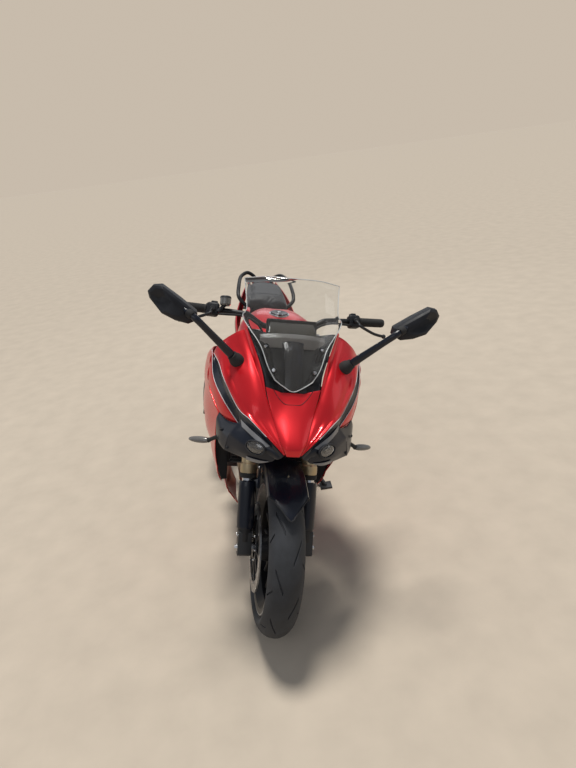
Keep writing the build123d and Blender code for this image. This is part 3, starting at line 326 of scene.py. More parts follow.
# Screw heads by Geometry Nodes: a washer and a domed head on each point, turned to the point's own direction
def makeScrewTree():
    tree = bpy.data.node_groups.new("screwHeads", "GeometryNodeTree")
    sockets = {}
    for label, kind in (("Spots", "NodeSocketGeometry"), ("Head Radius", "NodeSocketFloat"),
                        ("Head Height", "NodeSocketFloat"), ("Finish", "NodeSocketMaterial")):
        sockets[label] = tree.interface.new_socket(label, in_out="INPUT", socket_type=kind).identifier
    tree.interface.new_socket("Heads", in_out="OUTPUT", socket_type="NodeSocketGeometry")
    given = tree.nodes.new("NodeGroupInput").outputs

    def scaled(label, factor):
        return addNode(tree, "ShaderNodeMath", {0: given[label], 1: factor}, operation="MULTIPLY").outputs[0]

    parts = tree.nodes.new("GeometryNodeJoinGeometry")
    # foot radius, top radius, height, rise of its middle, sides
    for foot, top, tall, rise, count in ((1.35, 1.30, 0.35, 0.17, 20), (1.0, 0.78, 1.0, 0.85, 20),
                                         (0.46, 0.42, 0.2, 1.36, 6)):
        cone = addNode(tree, "GeometryNodeMeshCone", {
            "Vertices": count, "Radius Bottom": scaled("Head Radius", foot),
            "Radius Top": scaled("Head Radius", top), "Depth": scaled("Head Height", tall)})
        shift = addNode(tree, "ShaderNodeCombineXYZ", {"Z": scaled("Head Height", rise - tall / 2)})
        moved = addNode(tree, "GeometryNodeTransform", {"Geometry": cone.outputs["Mesh"],
                                                        "Translation": shift.outputs["Vector"]})
        tree.links.new(moved.outputs["Geometry"], parts.inputs["Geometry"])
    turn = addNode(tree, "GeometryNodeInputNamedAttribute", {"Name": "turn"}, data_type="FLOAT_VECTOR")
    spin = addNode(tree, "FunctionNodeEulerToRotation", {"Euler": turn.outputs["Attribute"]})
    spread = addNode(tree, "GeometryNodeInstanceOnPoints", {
        "Points": given["Spots"], "Instance": parts.outputs["Geometry"],
        "Rotation": spin.outputs["Rotation"]})
    real = addNode(tree, "GeometryNodeRealizeInstances", {"Geometry": spread.outputs["Instances"]})
    finish = addNode(tree, "GeometryNodeSetMaterial", {"Geometry": real.outputs["Geometry"],
                                                       "Material": given["Finish"]})
    addNode(tree, "NodeGroupOutput", {"Heads": finish.outputs["Geometry"]})
    return tree, sockets


screwTree, screwSockets = makeScrewTree()


# Screws at (point, direction) spots, in the frame of place
def addScrews(name, spots, radius, height, body, place=onBike, look="steel", slot="steel"):
    mesh = bpy.data.meshes.new(name)
    origin = place(0, 0, 0)
    mesh.from_pydata([place(*point) for point, _ in spots], [], [])
    turns = mesh.attributes.new("turn", "FLOAT_VECTOR", "POINT")
    for entry, (_, direction) in zip(turns.data, spots):
        entry.vector = (place(*direction) - origin).to_track_quat("Z", "Y").to_euler()
    obj = linkMesh(mesh, look)
    modifier = obj.modifiers.new("screws", "NODES")
    modifier.node_group = screwTree
    modifier[screwSockets["Head Radius"]] = radius / 1000
    modifier[screwSockets["Head Height"]] = height / 1000
    modifier[screwSockets["Finish"]] = looks[look]
    applyModifiers(obj, 40)
    obj.data.materials.clear()
    obj.data.materials.append(looks[look])
    return piece(name, [obj], body, slot)


# Camera, floor and light

camera = {"place": (-0.13934, -2.32117, 1.59215), "lens": 24.81,
          "right": (0.98701, -0.102813, -0.123456),
          "up": (0.153896, 0.384395, 0.910251),
          "back": (-0.046129, -0.917426, 0.395224)}


def makeCamera():
    data = bpy.data.cameras.new("camera")
    data.lens = camera["lens"]
    data.sensor_width = 36
    data.clip_start = 0.05
    obj = bpy.data.objects.new("camera", data)
    turn = Matrix([Vector(camera[key]) for key in ("right", "up", "back")]).transposed().to_4x4()
    obj.matrix_world = Matrix.Translation(camera["place"]) @ turn
    bpy.context.collection.objects.link(obj)
    bpy.context.scene.camera = obj


stage = {"size": 400, "behind": (0.577, 0.50, 0.411), "sky": (0.86, 0.92, 1.0), "skyStrength": 0.33,
         "sunFrom": (0.03, 0.2, 1)}
# kind, settings, where it stands, where it points
lights = {
    "sun": ("SUN", {"energy": 3.3, "angle": math.radians(14), "color": (1.0, 0.97, 0.91)}, stage["sunFrom"],
            (0, 0, 0)),
    "front": ("AREA", {"shape": "RECTANGLE", "size": 2.4, "size_y": 1.6, "energy": 16,
                       "color": (0.95, 0.97, 1.0)},
              (-1.6, -3.8, 3.0), (0, -0.4, 0.6)),
    "left": ("AREA", {"shape": "RECTANGLE", "size": 1.4, "size_y": 2.4, "energy": 7}, (3.6, -0.8, 2.0),
             (0, 0, 0.6)),
    "right": ("AREA", {"shape": "RECTANGLE", "size": 1.4, "size_y": 2.4, "energy": 7}, (-3.6, 0.4, 2.0),
              (0, 0, 0.6)),
    "rear": ("AREA", {"shape": "RECTANGLE", "size": 2.4, "size_y": 1.4, "energy": 10}, (0.8, 4.2, 2.2),
             (0, 0.4, 0.6)),
}


def makeStage():
    half = stage["size"] / 2
    corners = [(-half, -half, 0), (half, -half, 0), (half, half, 0), (-half, half, 0)]
    floor = meshObject(corners, [(0, 1, 2, 3)], "concrete", lambda *point: Vector(point))
    floor.name = "floor"
    for name, (kind, settings, place, aim) in lights.items():
        data = bpy.data.lights.new(name, kind)
        for key, value in settings.items():
            setattr(data, key, value)
        obj = bpy.data.objects.new(name, data)
        obj.location = place
        obj.rotation_euler = (Vector(aim) - Vector(place)).to_track_quat("-Z", "Y").to_euler()
        bpy.context.collection.objects.link(obj)
    world = bpy.data.worlds.new("studio")
    bpy.context.scene.world = world
    world.use_nodes = True
    tree = world.node_tree
    sky = tree.nodes["Background"]
    sky.inputs["Color"].default_value = (*stage["sky"], 1)
    sky.inputs["Strength"].default_value = stage["skyStrength"]
    # What the camera sees past the floor, also through glass
    behind = addNode(tree, "ShaderNodeBackground", {"Color": (*stage["behind"], 1)})
    rays = tree.nodes.new("ShaderNodeLightPath").outputs
    either = addNode(tree, "ShaderNodeMath", {0: rays["Is Camera Ray"], 1: rays["Is Transmission Ray"]},
                     operation="MAXIMUM")
    mix = addNode(tree, "ShaderNodeMixShader",
                  {"Fac": either.outputs[0], 1: sky.outputs[0], 2: behind.outputs[0]})
    tree.links.new(mix.outputs["Shader"], tree.nodes["World Output"].inputs["Surface"])
    bpy.context.scene.view_settings.view_transform = "Standard"


# Materials

# A procedural finish on object coordinates: grain is (scale, colour spread, roughness spread), bump and
# flake are strengths of fine relief, and wear lightens the outward edges
def paint(name, colour, metallic=0.0, roughness=0.5, coat=0.0, grain=(10, 0.1, 0.05), flake=0.0, bump=0.0,
          bumpScale=260, transmission=0.0, specular=0.5, wear=0.0, sheen=0.0, ior=None):
    material = bpy.data.materials.new(name)
    material.use_nodes = True
    tree = material.node_tree
    shader = tree.nodes["Principled BSDF"]
    fixed = {"Metallic": metallic, "Coat Weight": coat, "Coat Roughness": 0.06,
             "Transmission Weight": transmission, "Specular IOR Level": specular, "Sheen Weight": sheen}
    if ior:
        fixed["IOR"] = ior
    for key, value in fixed.items():
        shader.inputs[key].default_value = value
    source = tree.nodes.new("ShaderNodeTexCoord").outputs["Object"]
    scale, spread, roughSpread = grain
    noise = addNode(tree, "ShaderNodeTexNoise",
                    {"Scale": scale, "Detail": 6, "Vector": source}).outputs["Fac"]
    shade = addNode(tree, "ShaderNodeMapRange", {"Value": noise, "From Min": 0.3, "From Max": 0.7,
                                                 "To Min": 1 - spread, "To Max": 1 + spread})
    tint = addNode(tree, "ShaderNodeVectorMath", {0: colour, "Scale": shade.outputs["Result"]},
                   operation="SCALE")
    tone = tint.outputs["Vector"]
    if wear:
        shape = tree.nodes.new("ShaderNodeNewGeometry")
        edges = addNode(tree, "ShaderNodeMapRange", {"Value": shape.outputs["Pointiness"], "From Min": 0.52,
                                                     "From Max": 0.6, "To Max": wear})
        paler = (*(min(1, channel * 2.2 + 0.12) for channel in colour), 1)
        worn = addNode(tree, "ShaderNodeMix", {0: edges.outputs["Result"], 6: tone, 7: paler},
                       data_type="RGBA")
        tone = worn.outputs[2]
    tree.links.new(tone, shader.inputs["Base Color"])
    rough = addNode(tree, "ShaderNodeMapRange",
                    {"Value": noise, "To Min": max(0.02, roughness - roughSpread),
                     "To Max": min(1, roughness + roughSpread)})
    tree.links.new(rough.outputs["Result"], shader.inputs["Roughness"])
    if bump or flake:
        fine = addNode(tree, "ShaderNodeTexVoronoi" if flake else "ShaderNodeTexNoise",
                       {"Scale": 900 if flake else bumpScale, "Vector": source})
        relief = addNode(tree, "ShaderNodeBump", {"Strength": flake or bump, "Distance": 0.0006,
                                                  "Height": fine.outputs["Distance" if flake else "Fac"]})
        tree.links.new(relief.outputs["Normal"], shader.inputs["Normal"])
    return material


looks = {
    "concrete": paint("floor_concrete", (0.442, 0.38, 0.31), roughness=0.92, grain=(7, 0.05, 0.03),
                      bump=0.2),
    "red": paint("candy_red", (0.62, 0.006, 0.013), metallic=0.55, roughness=0.33, coat=0.45,
                 grain=(5, 0.05, 0.04), flake=0.1),
    "black": paint("moulded_black", (0.009, 0.010, 0.014), roughness=0.52, specular=0.3,
                   grain=(40, 0.2, 0.1), bump=0.25, wear=0.12),
    "gloss": paint("gloss_navy", (0.004, 0.006, 0.014), roughness=0.34, coat=0.25, specular=0.3,
                   grain=(6, 0.1, 0.03)),
    "facet": paint("satin_grey", (0.17, 0.17, 0.18), roughness=0.4, coat=0.3, grain=(20, 0.1, 0.05)),
    "line": paint("pale_edge", (0.5, 0.5, 0.52), roughness=0.4, grain=(30, 0.1, 0.05)),
    "frameBlack": paint("frame_black", (0.011, 0.011, 0.013), metallic=0.2, roughness=0.45, specular=0.35,
                        grain=(50, 0.2, 0.1), bump=0.15, wear=0.25),
    "engine": paint("engine_cast", (0.05, 0.05, 0.052), metallic=0.6, grain=(30, 0.3, 0.15), bump=0.5,
                    wear=0.3),
    "cover": paint("cover_bronze", (0.11, 0.085, 0.06), metallic=0.7, roughness=0.42, grain=(30, 0.15, 0.1),
                   bump=0.2, wear=0.25),
    "core": paint("radiator_core", (0.02, 0.02, 0.022), metallic=0.5, grain=(80, 0.3, 0.1)),
    "exhaust": paint("header_steel", (0.3, 0.24, 0.19), metallic=1, roughness=0.34, grain=(9, 0.35, 0.15)),
    "muffler": paint("muffler_black", (0.03, 0.03, 0.032), metallic=0.6, roughness=0.4, grain=(25, 0.2, 0.1),
                     wear=0.2),
    "gold": paint("fork_gold", (0.44, 0.35, 0.22), metallic=0.8, roughness=0.36, grain=(20, 0.1, 0.08)),
    "chrome": paint("fork_chrome", (0.62, 0.62, 0.64), metallic=1, roughness=0.14, grain=(60, 0.05, 0.05)),
    "steel": paint("bright_steel", (0.46, 0.46, 0.47), metallic=1, roughness=0.28, grain=(60, 0.12, 0.1)),
    "disc": paint("disc_steel", (0.38, 0.38, 0.39), metallic=1, roughness=0.32, grain=(90, 0.2, 0.12)),
    "cap": paint("cap_satin", (0.07, 0.07, 0.08), metallic=0.8, roughness=0.35, grain=(60, 0.12, 0.08)),
    "chain": paint("chain_oiled", (0.2, 0.17, 0.12), metallic=0.9, roughness=0.4, grain=(70, 0.3, 0.15)),
    "tyre": paint("tyre_rubber", (0.024, 0.026, 0.031), roughness=0.78, grain=(24, 0.3, 0.12), bump=0.35,
                  wear=0.1),
    "rubber": paint("grip_rubber", (0.014, 0.014, 0.015), roughness=0.8, grain=(60, 0.2, 0.1), bump=0.4),
    "seat": paint("seat_cover", (0.022, 0.022, 0.026), roughness=0.62, grain=(50, 0.25, 0.08), bump=0.9,
                  bumpScale=520, sheen=0.15),
    "seam": paint("seat_seam", (0.05, 0.05, 0.055), roughness=0.7, grain=(300, 0.3, 0.05), bump=0.6),
    "clear": paint("clear_screen", (0.90, 0.92, 0.93), roughness=0.02, transmission=1, grain=(3, 0.01, 0.01),
                   ior=1.4),
    "edge": paint("screen_edge", (0.72, 0.76, 0.78), roughness=0.25, transmission=0.5,
                  grain=(9, 0.05, 0.03)),
    "lamp": paint("lamp_glass", (0.93, 0.95, 0.98), roughness=0.02, transmission=1, coat=0.5,
                  grain=(3, 0.02, 0.01)),
    "smoke": paint("smoked_lens", (0.12, 0.115, 0.11), roughness=0.24, coat=0.5, grain=(12, 0.1, 0.03)),
    "tail": paint("tail_red", (0.5, 0.01, 0.01), roughness=0.12, coat=1, grain=(12, 0.1, 0.03)),
    "mirror": paint("mirror_silver", (0.85, 0.87, 0.9), metallic=1, roughness=0.03, grain=(3, 0.02, 0.01)),
    "display": paint("display_glass", (0.01, 0.012, 0.014), roughness=0.08, coat=1, grain=(8, 0.1, 0.02)),
}

# CAD nodes by the finish of their own material
plain = {
    "red": "nose_cowl upper_cowls side_cowls fuel_tank tail_cowls under_cowls",
    "black": "lamp_cowls dash chain_guard plate_holder hand_controls mirrors tail_tray",
    "gloss": "front_fender",
    "frameBlack": "main_frame subframe swingarm triple_clamps handlebar footpegs side_stand grab_rails "
                  "fork_legs foot_levers front_calipers rear_caliper front_rim rear_rim rear_shock",
    "engine": "engine", "cover": "engine_covers", "core": "radiator", "exhaust": "exhaust",
    "muffler": "muffler", "gold": "fork_tubes", "steel": "front_axle rear_axle rear_sprocket",
    "disc": "front_discs rear_disc", "cap": "fuel_cap", "chain": "chain", "tyre": "front_tyre rear_tyre",
    "rubber": "grips", "seat": "rider_seat pillion_seat", "clear": "windscreen", "lamp": "headlamps",
    "smoke": "turn_signals", "tail": "tail_light", "mirror": "mirror_glass",
}


def dressNodes():
    for look, names in plain.items():
        for name in names.split():
            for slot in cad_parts[name].material_slots:
                slot.material = looks[look]


# Both sides: what is given lies on the left

# What make builds at the left place and at the right
def both(make, place=onBike):
    return [make(onSide(side, place)) for side in sides]


def flip(line):
    return [(-x, y, z) for x, y, z in line]


# A line across the middle from its left half, which starts in the middle
def acrossLine(half):
    return flip(half[:0:-1]) + half


# Lines from right to left, from the left ones and any in the middle
def foldLines(lines, middle=()):
    return [flip(line) for line in lines] + list(middle) + lines[::-1]


# Screw spots on the left and the same on the right
def pairs(spots):
    return [((side * x, y, z), (side * u, v, w)) for side in sides for (x, y, z), (u, v, w) in spots]


# Screw spots at (y, z) on both flanks, facing out
def flankSpots(x, spots):
    return pairs([((x, y, z), (1, 0, 0)) for y, z in spots])


# A closed section from its first quarter, as shares of its half sizes
def quartered(first):
    half = first + [(-u, v) for u, v in reversed(first)]
    return half + [(-u, -v) for u, v in half]


# A closed profile from its half at positive x
def bothEnds(half):
    return half + [(-x, radius) for x, radius in reversed(half)]


# Rings smoothed along the body they belong to
def smoothRings(rings, steps):
    return list(zip(*[smoothLine(column, steps) for column in zip(*rings)]))


def addSkin(name, lines, look, slot, *replaced, **settings):
    piece(name, makeSkin(lines, look, **{**fairing, **settings}), "frame", slot, *replaced)


# Fairing, in mm in the bike's frame, left side of it: panels stand off from a place inside

fairing = {"inside": (0, -300, 760), "wall": 3.5}
screenEdge = [(23.5, -868, 765.5), (41, -849, 797), (65.5, -774, 848), (86, -737, 898), (101, -682, 958),
              (126, -622, 1012), (160, -548, 1072)]
browEdge = [(28, -866, 764), (84, -832, 808), (134, -782, 838), (174, -722, 850), (222, -642, 912),
            (242, -576, 944), (262, -500, 952)]


def makeBeak():
    crease = [(22, -869, 765), (40, -850, 797), (64, -775, 848), (78, -742, 885), (90, -716, 925)]
    flat = [(19, -873, 763), (23, -866, 796), (26, -786, 851), (30, -744, 882), (36, -716, 908)]
    addSkin("beak_skin_left", foldLines([crease, flat]), "red", "red_paint", "nose_cowl", crown=1,
            mirror=False)
    shut = acrossLine([(0, -747, 880.5), (24, -746, 881.5), (43, -735, 892.5), (60, -721, 912),
                       (66, -714, 925)])
    piece("beak_shut_line", [makeTube(shut, 0.9, "black")], "frame", "black_plastic")


def makeCowl():
    ridge = [(25, -868, 765.5), (43, -848, 796), (67, -773, 847), (88, -736, 896), (108, -689, 941),
             (133, -626, 985), (165, -538, 1057)]
    crest = [(26, -867, 765), (52, -842, 797), (90, -790, 832), (120, -745, 890), (143, -685, 940),
             (162, -614, 984), (205, -528, 1032)]
    flank = [(27, -866, 764.5), (66, -836, 800), (116, -784, 836), (158, -735, 864), (192, -664, 914),
             (222, -586, 964), (244, -506, 990)]
    addSkin("cowl_skins", [screenEdge, ridge, crest, flank, browEdge], "red", "red_paint", "upper_cowls",
            crown=3)
    rim = [(x, y - 1, z - 1.2) for x, y, z in browEdge[1:]]
    piece("cowl_rims", both(lambda put: makeTube(rim, 1.1, "line", put)), "frame", "black_plastic")


def makeAccent():
    strip = [[(175, -721, 847), (223, -641, 909), (242, -575, 940), (261, -502, 949)],
             [(168, -717, 820), (217, -643, 874), (241, -570, 907), (260, -503, 941)],
             [(165, -722, 792), (221, -652, 847), (257, -567, 890), (265, -503, 944)]]
    addSkin("accent_strips", strip, "gloss", "black_plastic", wall=3)
    edge = [(166, -723, 790), (222, -653, 845), (258, -568, 889), (267, -500, 947), (270, -440, 945)]
    piece("accent_lines", both(lambda put: makeTube(edge, 1.3, "line", put)), "frame", "black_plastic")


def makeSide():
    wedge = [[(166, -722, 790), (222, -652, 845), (260, -566, 890), (265, -499, 950)],
             [(162, -724, 779), (230, -641, 790), (276, -518, 851), (268, -498, 950)]]
    addSkin("wedge_skins", wedge, "red", "red_paint", "side_cowls", wall=3, crown=2)
    side = [[(266, -499, 950), (268, -440, 944), (262, -360, 930), (236, -270, 900), (206, -210, 868)],
            [(273, -506, 906), (287, -410, 896), (284, -330, 872), (262, -240, 830), (232, -180, 790)],
            [(276, -518, 851), (286, -420, 800), (288, -320, 742), (268, -220, 690), (244, -150, 650)],
            [(232, -640, 790), (272, -500, 700), (284, -380, 660), (276, -280, 620), (250, -180, 590)],
            [(238, -560, 650), (250, -450, 580), (258, -370, 550), (252, -290, 530), (234, -205, 510)],
            [(222, -438, 450), (230, -380, 435), (226, -320, 425), (222, -260, 415), (222, -210, 410)],
            [(201, -420, 375), (200, -370, 350), (196, -310, 338), (192, -260, 336), (192, -222, 340)]]
    addSkin("side_skins", side, "red", "red_paint", "side_cowls", crown=5)
    duct = [[(269, -506, 690), (252, -450, 600), (224, -436, 470), (200, -418, 380)],
            [(196, -452, 690), (188, -440, 600), (182, -428, 470), (178, -410, 380)]]
    addSkin("duct_panels", duct, "black", "black_plastic", wall=3, inside=(190, -300, 560))


def makeLampCowl():
    cowl = [[(28, -864, 760), (84, -831, 803), (134, -781, 833), (174, -721, 845)],
            [(34, -862, 750), (84, -826, 788), (134, -777, 818), (170, -722, 830)],
            [(44, -858, 742), (84, -834, 778), (132, -788, 798), (166, -732, 806)],
            [(50, -846, 736), (100, -836, 764), (148, -800, 762), (196, -740, 770)],
            [(58, -846, 728), (104, -836, 734), (152, -800, 730), (206, -738, 728)],
            [(76, -838, 719), (110, -826, 712), (152, -790, 706), (207, -740, 701)]]
    addSkin("lamp_skins", cowl, "gloss", "black_plastic", "lamp_cowls", crown=0.5, bevel=1.5)
    outer = [[(170, -736, 800), (204, -690, 786), (231, -640, 789)],
             [(197, -744, 756), (222, -696, 756), (240, -640, 766)],
             [(207, -742, 701), (225, -706, 706), (237, -660, 716)]]
    addSkin("lamp_flanks", outer, "gloss", "black_plastic", "lamp_cowls", crown=1)
    # The paler facets above the lamp and under it
    upper = [[(70, -838.5, 778), (100, -821, 795), (134, -790, 810), (163, -741, 817)],
             [(84, -838.5, 773), (104, -828, 781), (132, -800, 794), (158, -760, 800)]]
    lower = [[(70, -847.5, 727), (90, -844, 727), (112, -836, 727), (140, -815, 724)],
             [(80, -842, 720), (96, -838, 715), (112, -831, 713), (138, -810, 710)]]
    for name, lines in (("brow_facets", upper), ("sill_facets", lower)):
        addSkin(name, lines, "facet", "black_plastic", wall=1.6, bevel=0.6)
    spots = pairs([((222, -702, 757), (0.8, -0.6, 0.1)), ((200, -748, 716), (0.5, -0.85, 0.1))])
    addScrews("lamp_screws", spots, 4.5, 2.5, "frame", look="black", slot="black_plastic")


lampUnit = {"middle": (113, -827, 765), "across": (0.83, 0.55, 0), "facing": (0.533, -0.827, 0.18),
            "half": (33, 21)}


def makeHeadlamps():
    middle = Vector(lampUnit["middle"])
    across = Vector(lampUnit["across"]).normalized()
    facing = Vector(lampUnit["facing"]).normalized()
    rise = facing.cross(across).normalized()
    wide, tall = lampUnit["half"]

    def onLamp(put):
        return lambda x, y, z: put(*(middle + facing * x + across * y * wide + rise * z * tall))

    # profiles of (offset along the lamp's axis, share of its half sizes)
    bezel = [(2, 1.12), (6, 1.1), (7, 1.02), (6, 0.93), (-4, 0.9), (-6, 1.0)]
    bowl = [(1, 0.92), (-6, 0.84), (-13, 0.62), (-17, 0.4), (-18, 0.01), (-19, 0.01), (-18, 0.42),
            (-14, 0.66), (-7, 0.88), (0, 0.95)]
    eye = [(-17, 0.01), (-17, 0.5), (-8, 0.52), (-3, 0.44), (0.5, 0.28), (1.5, 0.01)]
    lens = [(2, 0.93), (5, 0.86), (8, 0.6), (9.5, 0.3), (10, 0.01), (8, 0.01), (7.5, 0.3), (6, 0.6),
            (3, 0.86), (0, 0.93)]
    for name, profile, look, around, slot in (("lamp_bezels", bezel, "black", 48, "black_plastic"),
                                              ("lamp_bowls", bowl, "mirror", 48, "steel"),
                                              ("lamp_eyes", eye, "display", 40, "lamp_glass"),
                                              ("lamp_lenses", lens, "lamp", 48, "lamp_glass")):
        piece(name, both(lambda put: makeLathe(profile, look, onLamp(put), around)), "frame", slot,
              "headlamps")


screen = {"wall": 3,
          "middle": [(0, -719, 914), (0, -700, 966), (0, -650, 1035), (0, -590, 1095), (0, -530, 1148),
                     (-2, -450, 1227)],
          "between": [(34, -716, 930), (54, -692, 970), (72, -636, 1037), (100, -566, 1098),
                      (98, -516, 1142), (96, -430, 1222)],
          "edge": [(62, -705, 946), (87, -682, 984), (114, -620, 1036), (171, -524, 1094), (160, -497, 1125),
                   (171, -402, 1205)]}


def makeScreen():
    edge, between, middle = screen["edge"], screen["between"], screen["middle"]
    addSkin("screen_sheet_left", foldLines([edge, between], [middle]), "clear", "screen_clear", "windscreen",
            wall=screen["wall"], mirror=False, along=6, across=4, bevel=0.8, inside=(0, -300, 900))
    outline = smoothLine(edge, 6)
    top = smoothLine(acrossLine([middle[-1], between[-1], edge[-1]])[::-1], 6)
    tip = smoothLine(acrossLine([middle[0], between[0], edge[0]]), 6)
    bead = outline + top[1:] + flip(outline[::-1])[1:] + tip[1:-1] + outline[:1]
    piece("screen_bead", [makeTube(bead, 1.7, "edge", smooth=1)], "frame", "screen_clear")
    spots = pairs([((93, -627, 1031), (0.42, -0.72, 0.55)), ((67, -691, 974), (0.4, -0.8, 0.45))])
    addScrews("screen_screws", spots, 6.5, 3.5, "frame")
    washers = [makeTurned(Vector(spot) - Vector(way) * 2, Vector(spot) + Vector(way) * 1.5,
                          [(0, 9), (0.2, 11), (0.8, 11), (1, 9.5)], "rubber") for spot, way in spots]
    piece("screen_washers", washers, "frame", "grip_rubber")


def makeInnerPanel():
    edge = [(x - 6, y + 4, z - 4) for x, y, z in screenEdge[3:]]
    shoulder = [(x * 0.66, y + 4, z - 12) for x, y, z in edge]
    channel = [(x * 0.42, y + 10, z - 26) for x, y, z in edge]
    floor = [(0, y + 10, z - 28) for x, y, z in edge]
    addSkin("inner_panel_left", foldLines([edge, shoulder, channel], [floor]), "black", "black_plastic",
            mirror=False, crown=0.5, wall=2.5, inside=(0, -560, 860), bevel=1.5)
    duct = foldLines([[(26, -706, 915), (30, -672, 968), (34, -620, 1016), (38, -580, 1040)]],
                     [[(0, -712, 915), (0, -678, 970), (0, -624, 1020), (0, -582, 1044)]])
    addSkin("inner_duct_left", duct, "gloss", "black_plastic", mirror=False, crown=1, wall=3,
            inside=(0, -560, 860))
    ledge = [acrossLine(half) for half in ([(0, -568, 1062), (60, -566, 1060), (112, -560, 1052)],
                                           [(0, -584, 1052), (60, -582, 1050), (112, -574, 1042)],
                                           [(0, -590, 1018), (58, -588, 1016), (104, -578, 1010)])]
    addSkin("inner_ledge_left", ledge, "facet", "black_plastic", mirror=False, wall=3, inside=(0, -500, 900))
    face = [(-82, -552, 1058), (82, -552, 1058), (76, -508, 1084), (-76, -508, 1084)]
    rings = [[(x * grow, y + lift * 0.58, z + lift) for x, y, z in face]
             for grow, lift in ((1, -14), (1.04, -6), (1, 0))]
    piece("display_glass", [makeLoft(rings, "display", subdivide=0, bevel=3)], "frame", "black_plastic")


# Mirrors

mirror = {"foot": (184, -617, 972), "neck": (321, -673, 1119), "joint": (372, -642, 1146),
          "middle": (404, -606, 1146)}


def makeMirrors():
    mx, my, mz = mirror["middle"]
    # x, z and the y of the front edge, round the housing from the neck over the top
    outline = [(322, 1130, -642), (376, 1170, -644), (431, 1206, -640), (458, 1202, -628), (476, 1180, -618),
               (470, 1160, -622), (428, 1122, -654), (386, 1103, -654), (346, 1094, -650), (320, 1106, -646)]
    # share of the outline, share of the depth up to the front edge, how far beyond it
    rings = [[(mx + (x - mx) * grow, my + (y - my) * deep - beyond, mz + (z - mz) * grow)
              for x, z, y in outline]
             for grow, deep, beyond in ((0.96, 0, 0), (1, 0.12, 0), (1, 1, 0), (0.86, 1, 9), (0.5, 1, 15))]
    pane = [[(mx + (x - mx) * 0.92, y, mz + (z - mz) * 0.92) for x, z, _ in outline] for y in (-612, -604.4)]
    foot, neck, joint = (Vector(mirror[key]) for key in ("foot", "neck", "joint"))
    run = [foot, foot.lerp(neck, 0.3), foot.lerp(neck, 0.62), foot.lerp(neck, 0.9), neck, joint]
    stalk = []
    for index, (spot, half, tall) in enumerate(zip(run, (17, 15, 13, 12, 13, 9), (11, 10, 9, 9, 10, 9))):
        ahead = (run[min(index + 1, 5)] - run[max(index - 1, 0)]).normalized()
        across = ahead.cross(Vector((0, -1, 0.35))).normalized()
        up = across.cross(ahead)
        stalk.append([spot + across * u * half + up * v * tall
                      for u, v in ((1, 0.25), (0.45, 1), (-0.45, 1), (-1, 0.25), (-0.8, -0.8), (0.8, -0.8))])
    feet = both(lambda put: makeTurned(foot - (neck - foot) * 0.05, foot.lerp(neck, 0.14),
                                       [(0, 23), (0.35, 24), (0.6, 22), (0.8, 18), (1, 16.5)], "rubber",
                                       put))
    feet += both(lambda put: makeTurned(neck.lerp(joint, 0.25), neck.lerp(joint, 0.55),
                                        [(0, 12), (0.2, 14), (0.8, 14), (1, 12)], "rubber", put))
    shells = both(lambda put: makeLoft(rings, "black", put, 0, 28, 4))
    panes = both(lambda put: makeLoft(pane, "mirror", put, 0, bevel=1))
    stalks = both(lambda put: makeLoft(stalk, "gloss", put, 2, 60))
    for name, parts, slot, node in (("mirror_shells", shells, "black_plastic", "mirrors"),
                                    ("mirror_panes", panes, "mirror_face", "mirror_glass"),
                                    ("mirror_stalks", stalks, "black_plastic", "mirrors"),
                                    ("mirror_feet", feet, "grip_rubber", "mirrors")):
        piece(name, parts, "frame", slot, node)


# Fork, in the fork's frame: distances up from the axle, and radii

fork = {"tube": 27, "leg": 21.5, "seal": 250, "top": 778}


def makeFork():
    tube, leg, seal, top = (fork[key] for key in ("tube", "leg", "seal", "top"))

    def onTube(put):
        return lambda x, y, z: put(chassis["forkHalf"] + y, z, x)

    def turnedParts(profile, look, around, closed=False):
        return both(lambda put: makeLathe(profile, look, onTube(put), around, closed), onFrontWheel)

    tubes = turnedParts([(268, 0.01), (268, 29), (276, 30.5), (300, 30.5), (306, tube), (560, tube),
                         (top - 2, tube), (top, tube - 1), (top, 0.01)], "gold", 64)
    seals = turnedParts([(seal, 22), (seal, 28), (254, 30.5), (262, 31), (268, 30), (268, 22)], "rubber",
                        64, True)
    inner = turnedParts([(108, 0.01), (108, leg), (seal + 2, leg), (seal + 2, 0.01)], "chrome", 48)
    caps = turnedParts([(top - 2, 0.01), (top - 2, 24), (783, 23), (785, 14), (790, 13), (790, 0.01)],
                       "steel", 48)
    feet = turnedParts([(22, 0.01), (22, 25), (26, 27), (98, 27), (106, 25.5), (110, 22.5), (110, 0.01)],
                       "frameBlack", 48)
    outline = [(-26, -20), (-20, -26), (20, -26), (26, -20), (25, 55), (19, 62), (-18, 62), (-25, 55)]
    feet += both(lambda put: makeHoledPlate(outline, [circle(12.6, 28)],
                                            lambda u, v, w: (chassis["forkHalf"] + w, u, v), -24.9, 24.9,
                                            "frameBlack", put, 2), onFrontWheel)
    piece("fork_gold", tubes, "steering", "fork_gold", "fork_tubes")
    piece("fork_seals", seals, "steering", "grip_rubber", "fork_tubes")
    piece("fork_inner", inner, "steering", "steel", "fork_legs")
    piece("fork_feet", feet, "steering", "black_frame", "fork_legs")
    piece("fork_caps", caps, "steering", "steel")
    addScrews("clamp_screws", flankSpots(137, [(-14, 46), (14, 46)]), 4, 4, "steering", onFrontWheel)


# The mudguard runs round the wheel between two angles, from the front over the top, and rises to both sides
fender = {"inner": 320, "wall": 3, "half": 68, "from": 55, "to": 152, "rise": 96}


